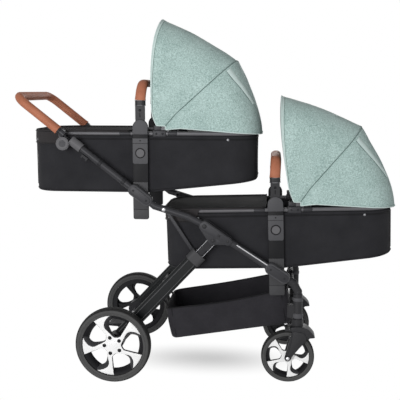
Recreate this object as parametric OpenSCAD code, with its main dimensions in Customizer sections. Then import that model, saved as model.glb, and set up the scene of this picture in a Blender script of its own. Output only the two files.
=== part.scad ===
// Tandem pram with two carrycots, in millimetres, +X forward, +Z up, standing on Z = 0.
// Places are measured from the rear axle, and the whole is then moved so that its middle lies at X = 0.

/* [Wheels] */
// Rear wheel diameter
rear_wheel_d = 290; // [270:2:310]
// Rear tyre width
rear_tyre_w = 45; // [38:1:52]
// Rear tyre height from rim to tread
rear_tyre_h = 27; // [22:1:32]
// Rear axle diameter
rear_axle_d = 16; // [12:1:20]
// Front wheel diameter
front_wheel_d = 202; // [190:2:210]
// Front tyre width
front_tyre_w = 38; // [32:1:42]
// Front tyre height from rim to tread
front_tyre_h = 19; // [15:1:24]
// Front axle diameter
front_axle_d = 12; // [10:1:14]
// Distance between the axles
wheelbase = 663; // [640:1:690]
// How far a front axle trails its swivel
caster_trail = 35; // [32:1:40]
// Number of openings in a wheel face
petals = 5; // [4:1:7]

/* [Frame tubes] */
// Tube diameter
tube_d = 26; // [22:1:28]
// Frame hinge ahead of the rear axle
hinge_x = 345; // [335:1:355]
// Frame hinge height
hinge_z = 601; // [592:1:610]
// Height where a front tube meets its swivel
caster_top_z = 374; // [364:1:384]
// Hinge pin diameter
pin_d = 10; // [8:1:12]
// Rivet diameter
rivet_d = 8; // [6:1:9]
// Thickness of a hinge cheek
cheek_t = 5.5; // [4:0.5:6.5]
// Distance from the hinge back to the handle tube's lower bend
low_bend_back = 63; // [56:1:70]
// Rise from the hinge to the handle tube's lower bend
low_bend_rise = 32; // [26:1:38]
// Distance from the hinge back to the handle tube's upper bend
high_bend_back = 191; // [182:1:200]
// Rise from the hinge to the handle tube's upper bend
high_bend_rise = 71; // [64:1:78]
// Length of the handle tube's straight upper run
handle_tube_l = 418; // [402:1:432]
// Slope of that run, in degrees
handle_slope = 37.9; // [36:0.1:39]

/* [Sleeves] */
// Wall between a sleeve's bore and its flat inner face
sleeve_wall = 5; // [4:0.5:7]
// Length of a sleeve along its tube
sleeve_l = 105; // [95:1:115]
// Height of a sleeve across its tube
sleeve_h = 44; // [40:1:48]
// Upper sleeve's middle above the handle tube's upper bend
upper_sleeve_up = 68; // [64:1:76]
// Lower sleeve's middle above the foot of the front tube
lower_sleeve_up = 92; // [84:1:96]

/* [Handle] */
// Diameter of a tilt hub
hub_d = 50; // [46:1:54]
// How far a hub's middle lies under the handle tube's axis
hub_drop = 27; // [25:0.5:29]
// Slope of the handle's legs, in degrees
grip_slope = 38.4; // [36:0.2:40]
// Length of the handle from the hubs to its crossbar
grip_l = 248; // [235:1:260]
// Diameter of the leather wrap
grip_d = 34; // [32:1:38]
// Bend radius of the handle's corners
grip_corner_r = 48; // [40:1:60]
// Bare length of each handle leg below the leather
bare_l = 46; // [40:1:56]
// Tilt button diameter
tilt_button_d = 24; // [18:1:28]
// Fold trigger length
trigger_l = 28; // [22:1:34]

/* [Rear legs] */
// Leg pivot ahead of the hinge, along the front tube
leg_pivot_along = 56; // [52:1:62]
// Leg pivot below the front tube's axis
leg_pivot_drop = 28; // [28:0.5:32]
// Depth of the leg profile
leg_depth = 54; // [48:1:58]
// Depth of the sprung upper piece
shock_depth = 38; // [32:1:42]
// Length of the sprung upper piece
shock_l = 92; // [86:1:100]
// Length of a leg collar
collar_l = 42; // [36:1:50]
// Diameter of a wheel housing
housing_d = 66; // [60:1:72]
// Width of a wheel housing outside its leg
housing_w = 28; // [22:1:34]
// Brake pedal length behind the axle
pedal_l = 70; // [60:1:80]

/* [Front forks] */
// Swivel stem diameter
stem_d = 16; // [12:1:18]
// Swivel housing diameter
caster_d = 36; // [32:1:40]
// Height of the swivel housing's lower end
caster_low_z = 250; // [246:1:256]
// Fork leg thickness
fork_t = 8; // [6:0.5:10]
// Mudguard thickness
guard_t = 7; // [5:0.5:9]

/* [Cots] */
// Cot length
cot_l = 870; // [855:1:885]
// Cot width
cot_w = 352; // [340:1:360]
// Cot depth under its rim tube
cot_depth = 225; // [210:1:235]
// Corner radius in plan
cot_corner_r = 100; // [80:1:120]
// Edge radius of the cot's bottom
cot_edge_r = 30; // [20:1:40]
// Rise of the bottom toward the head end
head_rise = 42; // [30:1:55]
// Level length of the bottom from the foot end
level_l = 453; // [420:1:500]
// Wall of the cot
cot_wall = 5; // [4:0.5:7]
// Rim tube diameter
rim_d = 16; // [13:1:18]
// Distance from the foot end to the adapters
foot_l = 430; // [415:1:440]
// Upper cot's adapters behind the middle of their sleeves
upper_cot_back = 3; // [0:1:6]
// Upper cot's rim above the middle of its sleeves
upper_cot_up = 230; // [226:1:236]
// Lower cot's adapters behind the middle of their sleeves
lower_cot_back = 11; // [6:1:14]
// Lower cot's rim above the middle of its sleeves
lower_cot_up = 234; // [228:1:238]
// Tilt of the lower cot, in degrees
lower_tilt = 1.8; // [0:0.2:2.4]
// Apron thickness
apron_t = 5; // [3:0.5:6]
// Depth of the apron's skirt
skirt_h = 42; // [34:1:50]
// Length of the skirt from the foot end
skirt_l = 140; // [120:1:170]
// Distance from the adapters to the apron's edge
apron_back = 36; // [32:1:50]
// Mattress thickness at the foot end
mattress_t = 60; // [50:1:80]

/* [Adapters] */
// Adapter width
strip_w = 59; // [54:1:64]
// Adapter thickness
strip_t = 14; // [13:0.5:16]
// Adapter above the rim
strip_up = 53; // [48:1:58]
// Adapter below the rim
strip_down = 327; // [318:1:334]
// Release button diameter
button_d = 30; // [24:1:34]
// Release button below the rim
button_drop = 73; // [66:1:80]
// Release button travel
button_travel = 3; // [2:0.5:4]

/* [Bumper bars] */
// Width of the bar
bar_w = 40; // [36:1:44]
// Thickness of the bar
bar_t = 28; // [24:1:30]
// Top of the bar above the rim
bar_up = 203; // [195:1:212]
// Bend radius of the bar's corners
bar_corner_r = 58; // [50:1:70]
// Height of the stems above the adapters
stem_h = 52; // [46:1:56]
// Height of the collars on the stems
bar_collar_h = 20; // [16:1:22]
// Depth of a stem's tongue in its adapter
tongue_h = 30; // [24:1:36]

/* [Hoods] */
// Hood pivot ahead of the adapters
pivot_ahead = 91; // [86:1:96]
// Hood pivot above the rim
pivot_up = 36; // [32:1:40]
// Reach of the front bow
front_l = 393; // [385:1:400]
// Reach of the middle bow
mid_l = 358; // [350:1:365]
// Reach of the rear seam
seam_l = 348; // [340:1:356]
// Reach of the tail
tail_l = 366; // [360:1:372]
// Corner radius of the hood
hood_corner_r = 110; // [90:1:130]
// Hood thickness
hood_t = 3; // [2:0.5:4]
// How far the hood's lip stands ahead of the front bow
lip = 48; // [40:1:52]
// Bow diameter
bow_d = 8; // [6:0.5:9]
// Angle of the upper front bow, in degrees
front_deg = 92.6; // [90:0.2:96]
// Angle of the upper middle bow, in degrees
mid_deg = 41.4; // [38:0.2:44]
// Angle of the upper rear seam, in degrees
seam_deg = 12; // [9:0.5:15]
// How much further the cloth stands out halfway between two bows, as a share
puff_share = 0.03; // [0:0.005:0.04]
// How much further the lower hood stands open, in degrees
lower_open = 6; // [3:0.5:8]

/* [Basket] */
// Back of the basket ahead of the rear axle
basket_x = 214; // [204:1:224]
// Height of the basket's lower back edge
basket_z = 128; // [120:1:136]
// Basket length
basket_l = 462; // [445:1:468]
// Basket width
basket_w = 290; // [270:1:296]
// Basket depth
basket_h = 140; // [126:1:146]
// Slope of the basket's floor, in degrees
basket_slope = 9.5; // [8:0.5:10.5]
// Basket wall
basket_wall = 4; // [3:0.5:6]
// Thickness of the board on its floor
board_t = 5; // [3:0.5:8]

/* [Hidden] */
$fn = 48;
// Running clearance of pins, axles and buttons in their bores
run_gap = 0.05;
// Gap between faces that slide past or seat on each other
gap = 0.3;
// Gap between plates of the folding frame
plate_gap = 0.5;
// How far a cut runs past what it cuts
over = 2;

// Stack of half widths, from the cots outward
cot_y = cot_w / 2;
strip_in_y = cot_y + gap;
strip_out_y = strip_in_y + strip_t;
button_out_y = strip_out_y + button_travel;
pad_out_y = button_out_y + gap + gap / 3;
sleeve_in_y = pad_out_y + gap;
tube_r = tube_d / 2;
tube_y = sleeve_in_y + sleeve_wall + tube_r;
sleeve_out_y = tube_y + tube_r + sleeve_wall;
tube_in_y = tube_y - tube_r;
tube_out_y = tube_y + tube_r;
cheek_in_y = tube_in_y - plate_gap - cheek_t;
cheek_out_y = tube_out_y + plate_gap + cheek_t;
link_t = cheek_t;
link_out_y = cheek_in_y - plate_gap;
link_in_y = link_out_y - link_t;
housing_out_y = tube_out_y + housing_w;
rear_wheel_y = housing_out_y + plate_gap + rear_tyre_w / 2;

// Side-view points, as distance ahead of the rear axle and height
rear_r = rear_wheel_d / 2;
front_r = front_wheel_d / 2;
axle = [0, rear_r];
front_axle = [wheelbase, front_r];
swivel_x = wheelbase + caster_trail;
elbow = [swivel_x, caster_top_z];
hinge = [hinge_x, hinge_z];
front_dir = (elbow - hinge) / norm(elbow - hinge);
front_down = [front_dir[1], -front_dir[0]];
leg_pivot = hinge + leg_pivot_along * front_dir + leg_pivot_drop * front_down;
leg_l = norm(axle - leg_pivot);
leg_dir = (axle - leg_pivot) / leg_l;
low_bend = hinge + [-low_bend_back, low_bend_rise];
high_bend = hinge + [-high_bend_back, high_bend_rise];
run_dir = [-cos(handle_slope), sin(handle_slope)];
run_top = high_bend + handle_tube_l * run_dir;
hub = run_top + hub_drop * [run_dir[0] * tan(handle_slope), run_dir[0]];
grip_dir = [-cos(grip_slope), sin(grip_slope)];

// Frame details
eye_r = tube_r + tube_d / 6;
bend_r = 1.03 * tube_r;
leg_eye_r = leg_pivot_drop - tube_r - 2 * plate_gap;
// Share of the run between the bends at which the fold link is hinged
link_share = 0.28;
link_pin = high_bend + link_share * (low_bend - high_bend);
link_r = 1.5 * rivet_d;
collar_mid = shock_l + collar_l / 8;
link_foot = leg_pivot + collar_mid * leg_dir;
// Front tube's start and its two rivets, from the hinge
front_start = 2 * tube_d;
rivet_places = [front_start + tube_r, front_start + 2 * tube_d];
cheek_r = eye_r + cheek_t / 2;
collar_wall = sleeve_wall - plate_gap;
hub_r = hub_d / 2;
hub_split = tube_y;
end_gap = 0.6 * tube_d;
clamp_r = tube_r + sleeve_wall;
clamp_l = hub_d;
trigger_up = handle_tube_l - clamp_l - end_gap - 1.6 * trigger_l;
trigger_w = 0.7 * tube_d;
trigger_t = tube_r;
hub_pin_d = pin_d;
crossbar_d = 0.75 * tube_d;
crossbar_back = 0.78 * caster_d;
crossbar = elbow - crossbar_back * front_dir;
leg_bar_d = crossbar_d;
// Share of the leg at which its cross tube lies
leg_bar_share = 0.6;
leg_bar = leg_pivot + leg_bar_share * leg_l * leg_dir;
pedal_w = 3 * tube_d;
pedal_sleeve_r = 1.7 * rear_axle_d / 2;
pedal_t = rear_axle_d / 2;
socket_l = lower_sleeve_up - sleeve_l / 2 - gap;
socket_r = tube_r + sleeve_wall / 2;
elbow_r = 1.03 * socket_r;
elbow_back = 0.55 * caster_d;
elbow_ends = [elbow - [0, elbow_back], elbow - elbow_back * front_dir];
stem_top = caster_top_z - caster_d;
shoulder_z = stem_top + caster_d / 5;

// Cots: 0 is the upper one and 1 the lower one
upper_sleeve = high_bend + upper_sleeve_up * run_dir;
lower_sleeve = elbow - lower_sleeve_up * front_dir;
cot_xs = [upper_sleeve[0] - upper_cot_back, lower_sleeve[0] - lower_cot_back];
cot_zs = [upper_sleeve[1] + upper_cot_up, lower_sleeve[1] + lower_cot_up];
cot_tilts = [0, lower_tilt];
head_l = cot_l - foot_l;
rim_r = rim_d / 2;
rim_y = cot_y - rim_r;
seat_gap = gap / 1.5;
cot_top = -rim_r - seat_gap;
floor_z = -cot_depth;
strip_r = strip_w / 2;
tongue_w = 0.6 * strip_w;
tongue_t = 0.55 * strip_t;
bar_y = strip_in_y + strip_t / 2 - bar_t / 5;
button_r = button_d / 2;
button_well = button_travel + 0.42 * strip_t;
// Shares of the adapter's length below the rim between which its pad lies
pad_shares = [0.56, 0.88];
groove_depth = strip_t / 8;
// Shares of the adapter's length below the rim between which its groove lies
groove_shares = [0.01, 0.05];

// Hood layers at the pivots, from the outside inward
bow_r = bow_d / 2;
hood_y = cot_y;
bow_gap = gap + gap / 3;
bow_y = hood_y - hood_t - bow_gap - bow_r;
eye_t = 3 * bow_d / 8;
front_eye_y = hood_y - hood_t - bow_gap - eye_t;
mid_eye_y = front_eye_y - bow_gap - eye_t;
bracket_t = 5 * bow_d / 8;
bracket_y = mid_eye_y - bow_gap - bracket_t;
bow_eye_r = 1.125 * bow_d;
bow_pin_d = 0.75 * bow_d;
bow_start = 3.25 * bow_d;
hood_start = 25;
pivot = [pivot_ahead, pivot_up];
tail_deg = -asin((pivot_up - rim_r - gap) / tail_l);
front_degs = [front_deg, front_deg + lower_open];
mid_degs = [mid_deg, mid_deg + lower_open];
hood_steps = 10;
hood_rings = 4;

// Basket
basket_r = 0.1 * basket_w;
strap_t = basket_wall;
strap_w = 0.08 * basket_w;
// Share of the basket's half width at which the straps lie
strap_share = 0.55;
strap_y = strap_share * basket_w / 2;

// Whole length, for the middle
function turned(p, a) = [p[0] * cos(a) - p[1] * sin(a), p[0] * sin(a) + p[1] * cos(a)];
function cot_at(c, p) = [cot_xs[c], cot_zs[c]] + turned(p, cot_tilts[c]);
function basket_at(p) = [basket_x, basket_z] + turned(p, basket_slope);
rear_end = (run_top + grip_l * grip_dir)[0] - grip_d / 2;
front_end = cot_at(1, pivot + tail_l * [cos(tail_deg), sin(tail_deg)])[0];
middle_x = (rear_end + front_end) / 2;

// Placing
module in_place() translate([-middle_x, 0, 0]) children();
module in_cot(c) in_place() translate([cot_xs[c], 0, cot_zs[c]]) rotate([0, -cot_tilts[c], 0]) children();
module in_bow(deg) translate([pivot[0], 0, pivot[1]]) rotate([0, 90 - deg, 0]) children();
module in_grip() in_place() translate([run_top[0], 0, run_top[1]]) rotate([0, grip_slope - 90, 0]) children();
module in_leg() in_place() translate([leg_pivot[0], 0, leg_pivot[1]])
    rotate([0, 90 - atan2(leg_dir[1], leg_dir[0]), 0]) children();
module in_basket() in_place() translate([basket_x, 0, basket_z]) rotate([0, -basket_slope, 0]) children();
module pair() {
    children();
    mirror([0, 1, 0]) children();
}
module on_side(side) if (side > 0) children(); else mirror([0, 1, 0]) children();

// Shapes drawn in side view and given a span across the pram
module across(y0, y1) translate([0, y1, 0]) rotate([90, 0, 0]) linear_extrude(y1 - y0) children();
module pin(p, r, y0, y1) translate([p[0], y1, p[1]]) rotate([90, 0, 0]) cylinder(r = r, h = y1 - y0);
module rod(p, q, r, y) translate([p[0], y, p[1]])
    rotate([0, 90 - atan2(q[1] - p[1], q[0] - p[0]), 0]) cylinder(r = r, h = norm(q - p));
module ball(p, r, y) translate([p[0], y, p[1]]) sphere(r = r);

// Flat outlines
module bar_2d(p, q, r, s) {
    a = atan2(q[1] - p[1], q[0] - p[0]);
    b = acos((r - s) / norm(q - p));
    polygon([p + r * [cos(a + b), sin(a + b)], q + s * [cos(a + b), sin(a + b)],
        q + s * [cos(a - b), sin(a - b)], p + r * [cos(a - b), sin(a - b)]]);
    translate(p) circle(r = r);
    translate(q) circle(r = s);
}
module oval_2d(t, w) {
    if (w > t) bar_2d([0, -(w - t) / 2], [0, (w - t) / 2], t / 2, t / 2);
    else circle(r = t / 2);
}
module plan_2d(x0, x1, half, r) {
    translate([x0 + r, -half]) square([x1 - x0 - 2 * r, 2 * half]);
    translate([x0, -half + r]) square([x1 - x0, 2 * half - 2 * r]);
    for (x = [x0 + r, x1 - r], y = [-half + r, half - r]) translate([x, y]) circle(r = r);
}
function arc(c, r, a0, a1, n) = [for (i = [0:n]) let (a = a0 + (a1 - a0) * i / n) c + r * [cos(a), sin(a)]];

// U-shaped bar in the YZ plane: legs from z0 up, rounded corners, top at height l; its section is the child
module u_bar(half, l, r, z0) {
    pair() translate([0, half, z0]) rotate([0, 0, 90]) linear_extrude(l - r - z0) children();
    pair() translate([0, half - r, l - r]) rotate([90, 0, 90]) rotate_extrude(angle = 90)
        translate([r, 0]) children();
    translate([0, half - r, l]) rotate([90, -90, 0]) linear_extrude(2 * (half - r)) children();
}

// Frame
module front_tubes() color("dimgray") in_place() pair() difference() {
    rod(hinge + front_start * front_dir, elbow_ends[1], tube_r, tube_y);
    for (s = rivet_places)
        pin(hinge + s * front_dir, rivet_d / 2 + run_gap, tube_in_y - over, tube_out_y + over);
}
module cheek_2d() {
    tail = hinge + rivet_places[1] * front_dir;
    bar_2d(hinge, tail, cheek_r, tube_r + cheek_t / 2);
    bar_2d(leg_pivot, tail, leg_eye_r + cheek_t / 2, tube_r);
    bar_2d(hinge, leg_pivot, cheek_r, leg_eye_r + cheek_t / 2);
}
module hinge_blocks() color("dimgray") in_place() pair() difference() {
    union() {
        across(cheek_in_y, cheek_in_y + cheek_t) cheek_2d();
        across(cheek_out_y - cheek_t, cheek_out_y) cheek_2d();
    }
    for (p = [hinge, leg_pivot]) pin(p, pin_d / 2 + run_gap, cheek_in_y - over, cheek_out_y + over);
    for (s = rivet_places)
        pin(hinge + s * front_dir, rivet_d / 2 + run_gap, cheek_in_y - over, cheek_out_y + over);
}
module hinge_pins() color("silver") in_place() pair() {
    for (p = [hinge, leg_pivot]) pin(p, pin_d / 2, cheek_in_y, cheek_out_y);
    for (s = rivet_places) pin(hinge + s * front_dir, rivet_d / 2, cheek_in_y, cheek_out_y);
}
module sleeve(middle, dir) {
    half = (sleeve_l - sleeve_h) / 2;
    ends = [middle - (sleeve_l / 2 + over) * dir, middle + (sleeve_l / 2 + over) * dir];
    difference() {
        across(sleeve_in_y, sleeve_out_y)
            bar_2d(middle - half * dir, middle + half * dir, sleeve_h / 2, sleeve_h / 2);
        rod(ends[0], ends[1], tube_r + run_gap, tube_y);
    }
}
module lower_sleeves() color("gray") in_place() pair() sleeve(lower_sleeve, front_dir);
module upper_sleeves() color("gray") in_place() pair() sleeve(upper_sleeve, run_dir);
module caster_housings() color("dimgray") in_place() pair() difference() {
    union() {
        translate([swivel_x, tube_y, caster_low_z]) cylinder(r = caster_d / 2, h = shoulder_z - caster_low_z);
        rod([swivel_x, shoulder_z - over], elbow_ends[0], socket_r, tube_y);
        rod(elbow_ends[0], elbow_ends[1], socket_r, tube_y);
        for (p = elbow_ends) ball(p, elbow_r, tube_y);
        rod(elbow_ends[1], elbow - socket_l * front_dir, socket_r, tube_y);
        translate([swivel_x - 1.08 * caster_d, tube_y - caster_d / 3, caster_low_z + caster_d / 8])
            cube([caster_d, 2 * caster_d / 3, 1.35 * caster_d]);
    }
    rod(elbow_ends[1], elbow - (socket_l + over) * front_dir, tube_r + run_gap, tube_y);
    translate([swivel_x, tube_y, caster_low_z - over])
        cylinder(r = stem_d / 2 + run_gap, h = stem_top + gap - caster_low_z + over);
}
module front_crossbar() color("dimgray") in_place()
    pin(crossbar, crossbar_d / 2, -tube_y + elbow_r + seat_gap, tube_y - elbow_r - seat_gap);

// Basket
module strap(from, to, r) {
    dir = (to - from) / norm(to - from);
    across(strap_y - strap_w / 2, strap_y + strap_w / 2)
        bar_2d(from, to - (r + strap_t / 2 + gap) * dir, strap_t / 2, strap_t / 2);
}
module basket() color("black") {
    in_basket() difference() {
        linear_extrude(basket_h) plan_2d(0, basket_l, basket_w / 2, basket_r);
        translate([0, 0, basket_wall]) linear_extrude(basket_h)
            plan_2d(basket_wall, basket_l - basket_wall, basket_w / 2 - basket_wall, basket_r - basket_wall);
    }
    rim_mid = basket_h - strap_t / 2;
    in_place() pair() {
        strap(basket_at([basket_l - strap_t / 2, rim_mid]), crossbar, crossbar_d / 2);
        strap(basket_at([strap_t / 2, rim_mid]), leg_bar, leg_bar_d / 2);
    }
}
module basket_board() color("dimgray") in_basket() translate([0, 0, basket_wall]) linear_extrude(board_t)
    plan_2d(basket_wall + gap, basket_l - basket_wall - gap, basket_w / 2 - basket_wall - gap,
        basket_r - basket_wall);

// Rear legs
module leg_frame() color("dimgray") {
    in_leg() difference() {
        union() {
            pair() translate([0, tube_y, shock_l + seat_gap])
                linear_extrude(leg_l - shock_l - seat_gap) rotate([0, 0, 90]) oval_2d(tube_d, leg_depth);
            translate([0, tube_y, leg_bar_share * leg_l]) rotate([90, 0, 0])
                cylinder(r = leg_bar_d / 2, h = 2 * tube_y);
        }
        translate([0, tube_y + tube_d, leg_l]) rotate([90, 0, 0])
            cylinder(r = housing_d / 2 + run_gap, h = 2 * (tube_y + tube_d));
    }
}
module leg_collars() color("gray") in_leg() pair() translate([0, tube_y, collar_mid - collar_l / 2]) difference() {
    linear_extrude(collar_l) rotate([0, 0, 90])
        oval_2d(tube_d + 2 * collar_wall, leg_depth + 2 * collar_wall);
    translate([0, 0, -over]) linear_extrude(collar_l + 2 * over) rotate([0, 0, 90])
        oval_2d(tube_d + 2 * run_gap, leg_depth + 2 * run_gap);
}
module shock_pieces() color("silver") in_leg() pair() difference() {
    union() {
        translate([0, tube_out_y - plate_gap, 0]) rotate([90, 0, 0])
            cylinder(r = leg_eye_r, h = tube_d - 2 * plate_gap);
        translate([-leg_eye_r, tube_in_y + plate_gap, 0])
            cube([2 * leg_eye_r, tube_d - 2 * plate_gap, shock_l / 2]);
        translate([0, tube_y, shock_l / 3]) linear_extrude(shock_l - shock_l / 3) rotate([0, 0, 90])
            oval_2d(tube_d - 2 * plate_gap, shock_depth);
    }
    translate([0, tube_out_y + over, 0]) rotate([90, 0, 0])
        cylinder(r = pin_d / 2 + run_gap, h = tube_d + 2 * over);
}
module rear_axle() color("silver") in_place()
    pin(axle, rear_axle_d / 2, -rear_wheel_y - rear_tyre_w / 4, rear_wheel_y + rear_tyre_w / 4);
module wheel_housings() color("black") in_place() pair() difference() {
    pin(axle, housing_d / 2, tube_in_y, housing_out_y);
    pin(axle, rear_axle_d / 2 + run_gap, tube_in_y - over, housing_out_y + over);
}
module brake_pedal() color("black") in_place() difference() {
    union() {
        pin(axle, pedal_sleeve_r, -pedal_w / 2, pedal_w / 2);
        across(-pedal_w / 2, pedal_w / 2)
            bar_2d(axle, axle - [pedal_l, 0], pedal_t, pedal_t / 2);
    }
    pin(axle, rear_axle_d / 2 + run_gap, -pedal_w, pedal_w);
}

// Handle frame
module handle_tubes() color("dimgray") in_place() pair() difference() {
    union() {
        pin(hinge, eye_r, tube_in_y + plate_gap / 2, tube_out_y - plate_gap / 2);
        rod(hinge, low_bend, tube_r, tube_y);
        ball(low_bend, bend_r, tube_y);
        rod(low_bend, high_bend, tube_r, tube_y);
        ball(high_bend, bend_r, tube_y);
        rod(high_bend, run_top - end_gap * run_dir, tube_r, tube_y);
    }
    pin(hinge, pin_d / 2 + run_gap, tube_in_y - over, tube_out_y + over);
    pin(link_pin, rivet_d / 2 + run_gap, tube_in_y - over, tube_out_y + over);
    pin(hub, hub_r + plate_gap, tube_in_y - over, tube_out_y + over);
}
module tilt_housings() color("gray") in_place() pair() {
    difference() {
        union() {
            pin(hub, hub_r, hub_split + gap, sleeve_out_y);
            rod(run_top - end_gap * run_dir, run_top - (end_gap + clamp_l) * run_dir, clamp_r, tube_y);
        }
        rod(run_top + over * run_dir, run_top - (end_gap + clamp_l + over) * run_dir, tube_r + run_gap, tube_y);
        pin(hub, hub_r + plate_gap, tube_in_y - clamp_r, hub_split + gap);
        pin(hub, tilt_button_d / 2 + run_gap, sleeve_out_y - 2 * sleeve_wall, sleeve_out_y + over);
    }
    pin(hub, hub_pin_d / 2, sleeve_in_y, hub_split + 2 * gap);
}
module fold_trigger(side) color("black") in_place() on_side(side)
    translate([high_bend[0], tube_y, high_bend[1]]) rotate([0, handle_slope - 90, 0])
        translate([-tube_r - gap - trigger_t, -trigger_w / 2, trigger_up]) difference() {
            cube([trigger_t, trigger_w, trigger_l]);
            translate([-over, -over, trigger_l / 4]) cube([trigger_t / 3 + over, trigger_w + 2 * over, trigger_l / 2]);
        }
module fold_trigger_right() fold_trigger(-1);
module fold_trigger_left() fold_trigger(1);
module tilt_button(side) color("silver") in_place() on_side(side)
    pin(hub, tilt_button_d / 2, sleeve_out_y - 2 * sleeve_wall + button_travel + gap, sleeve_out_y + button_travel / 2);
module tilt_button_right() tilt_button(-1);
module tilt_button_left() tilt_button(1);
module fold_links() color("silver") in_place() pair() {
    across(link_in_y, link_out_y) bar_2d(link_pin, link_foot, link_r, link_r);
    pin(link_pin, rivet_d / 2, link_in_y, tube_out_y - plate_gap);
}

// Handle
module handle_bar() color("silver") {
    difference() {
        in_grip() u_bar(tube_y, grip_l, grip_corner_r, end_gap) circle(r = tube_r);
        in_place() pair() pin(hub, hub_r + plate_gap, hub_split, sleeve_out_y + over);
    }
    in_place() pair() difference() {
        union() {
            pin(hub, hub_r, sleeve_in_y, hub_split - gap);
            across(sleeve_in_y + sleeve_wall, hub_split - gap)
                bar_2d(hub, run_top + 2 * end_gap * grip_dir, tube_r, tube_r);
        }
        pin(hub, hub_pin_d / 2 + run_gap, sleeve_in_y - over, hub_split + over);
    }
}
module grip_leather() color("peru") in_grip() difference() {
    u_bar(tube_y, grip_l, grip_corner_r, bare_l) circle(r = grip_d / 2);
    u_bar(tube_y, grip_l, grip_corner_r, bare_l - over) circle(r = tube_r + run_gap);
}

// Wheels, drawn at the origin with the outer face toward +Y
module tyre(r, w, h) {
    edge = min(h, w) / 3;
    rotate([90, 0, 0]) rotate_extrude() {
        translate([r - h, -w / 2 + edge]) square([h, w - 2 * edge]);
        translate([r - h, -w / 2]) square([h - edge, w]);
        for (y = [-w / 2 + edge, w / 2 - edge]) translate([r - edge, y]) circle(r = edge);
    }
}
// Shares of the rim's radius for the openings' inner and outer ends
petal_shares = [0.4, 0.92];
// Share of one opening's pitch that its outer and inner ends take
petal_wide_shares = [0.31, 0.16];
// Lean of an opening along its length, in degrees
petal_lean = 16;
function petal_point(r, share, wide, lean) = let (a = wide * 360 / petals + lean * share) r * [cos(a), sin(a)];
module petal_2d(r) {
    n = 6;
    r0 = petal_shares[0] * r;
    r1 = petal_shares[1] * r;
    function at(u, v) = petal_point(r0 + (r1 - r0) * u, u, v * (petal_wide_shares[1]
        + (petal_wide_shares[0] - petal_wide_shares[1]) * sqrt(u)), petal_lean);
    polygon(concat([for (i = [0:n]) at(i / n, 1)], [for (i = [1:n]) at(1, 1 - 2 * i / n)],
        [for (i = [1:n]) at(1 - i / n, -1)]));
}
module rim(r, w, bore_r, hub_r, bolts) {
    face_y = 0.32 * w;
    difference() {
        union() {
            pin([0, 0], r, -face_y, face_y);
            pin([0, 0], hub_r, -w / 2, face_y + w / 8);
            if (bolts) for (i = [0:petals - 1]) rotate([0, (i + 0.5) * 360 / petals, 0])
                pin([1.35 * hub_r, 0], hub_r / 6, 0, face_y + w / 16);
        }
        pin([0, 0], bore_r, -w, 0.28 * w);
        translate([0, -face_y - over, 0]) rotate([90, 0, 0]) mirror([0, 0, 1]) rotate_extrude()
            translate([1.3 * hub_r, 0]) square([0.86 * r - 1.3 * hub_r, 0.3 * w + over]);
        for (i = [0:petals - 1]) rotate([0, i * 360 / petals, 0])
            across(-face_y - over, face_y + over) petal_2d(r);
    }
}
module at_wheel(p, y, side) in_place() on_side(side) translate([p[0], y, p[1]]) children();
module rear_tyre(side) color("dimgray") at_wheel(axle, rear_wheel_y, side) tyre(rear_r, rear_tyre_w, rear_tyre_h);
module rear_rim(side) color("white") at_wheel(axle, rear_wheel_y, side)
    rim(rear_r - rear_tyre_h - run_gap, rear_tyre_w, rear_axle_d / 2 + run_gap, 1.4 * rear_axle_d, true);
module front_tyre(side) color("dimgray") at_wheel(front_axle, tube_y, side)
    tyre(front_r, front_tyre_w, front_tyre_h);
module front_rim(side) color("white") at_wheel(front_axle, tube_y, side) difference() {
    rim(front_r - front_tyre_h - run_gap, front_tyre_w, front_axle_d / 2 + run_gap, 1.4 * front_axle_d, false);
    pin([0, 0], front_axle_d / 2 + run_gap, -front_tyre_w, front_tyre_w);
}
module rear_tyre_right() rear_tyre(-1);
module rear_rim_right() rear_rim(-1);
module rear_tyre_left() rear_tyre(1);
module rear_rim_left() rear_rim(1);
module front_tyre_right() front_tyre(-1);
module front_rim_right() front_rim(-1);
module front_tyre_left() front_tyre(1);
module front_rim_left() front_rim(1);

// Forks
fork_in = front_tyre_w / 2 + 0.7 * fork_t;
fork_out = fork_in + fork_t;
guard_half = fork_out - fork_t / 4;
guard_in_r = front_r + 0.7 * guard_t;
guard_out_r = guard_in_r + guard_t;
// Angles between which the mudguard runs over the wheel
guard_degs = [44, 96];
// Beak of the mudguard, ahead of and above the axle, as shares of the wheel's radius
beak_shares = [[0.1, 1.18], [0.35, 1.21], [0.6, 1.18], [0.77, 1.09], [0.91, 0.95], [0.99, 0.82], [0.75, 0.79],
    [0.62, 0.88], [0.35, 1.02], [0.1, 1.07]];
crown_r = 0.62 * caster_d;
crown_z = front_r + sqrt(guard_in_r * guard_in_r - pow(caster_trail + crown_r, 2)) + guard_t / 2;
module fork(side) color("dimgray") at_wheel([0, 0], tube_y, side) {
    crown = [swivel_x, front_r + guard_in_r * sin(acos(caster_trail / guard_in_r))];
    translate([wheelbase, 0, front_r]) rotate([90, -guard_degs[0], 0])
        rotate_extrude(angle = guard_degs[1] - guard_degs[0])
            translate([guard_in_r, -guard_half]) square([guard_t, 2 * guard_half]);
    across(guard_t / 4 - guard_half, guard_half - guard_t / 4) polygon([for (p = beak_shares) front_axle + front_r * p]);
    difference() {
        translate([swivel_x, 0, crown_z]) cylinder(r = crown_r, h = caster_low_z - plate_gap - crown_z);
        pin(front_axle, guard_in_r + guard_t / 2, -fork_out - over, fork_out + over);
    }
    for (y = [-fork_out, fork_in]) across(y, y + fork_t) bar_2d(crown, front_axle, crown_r * 0.9, front_axle_d);
    pin(front_axle, front_axle_d / 2, -fork_out, fork_out + fork_t / 2);
    translate([swivel_x, 0, front_r + guard_out_r]) cylinder(r = stem_d / 2, h = stem_top - front_r - guard_out_r);
}
module fork_right() fork(-1);
module fork_left() fork(1);

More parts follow.
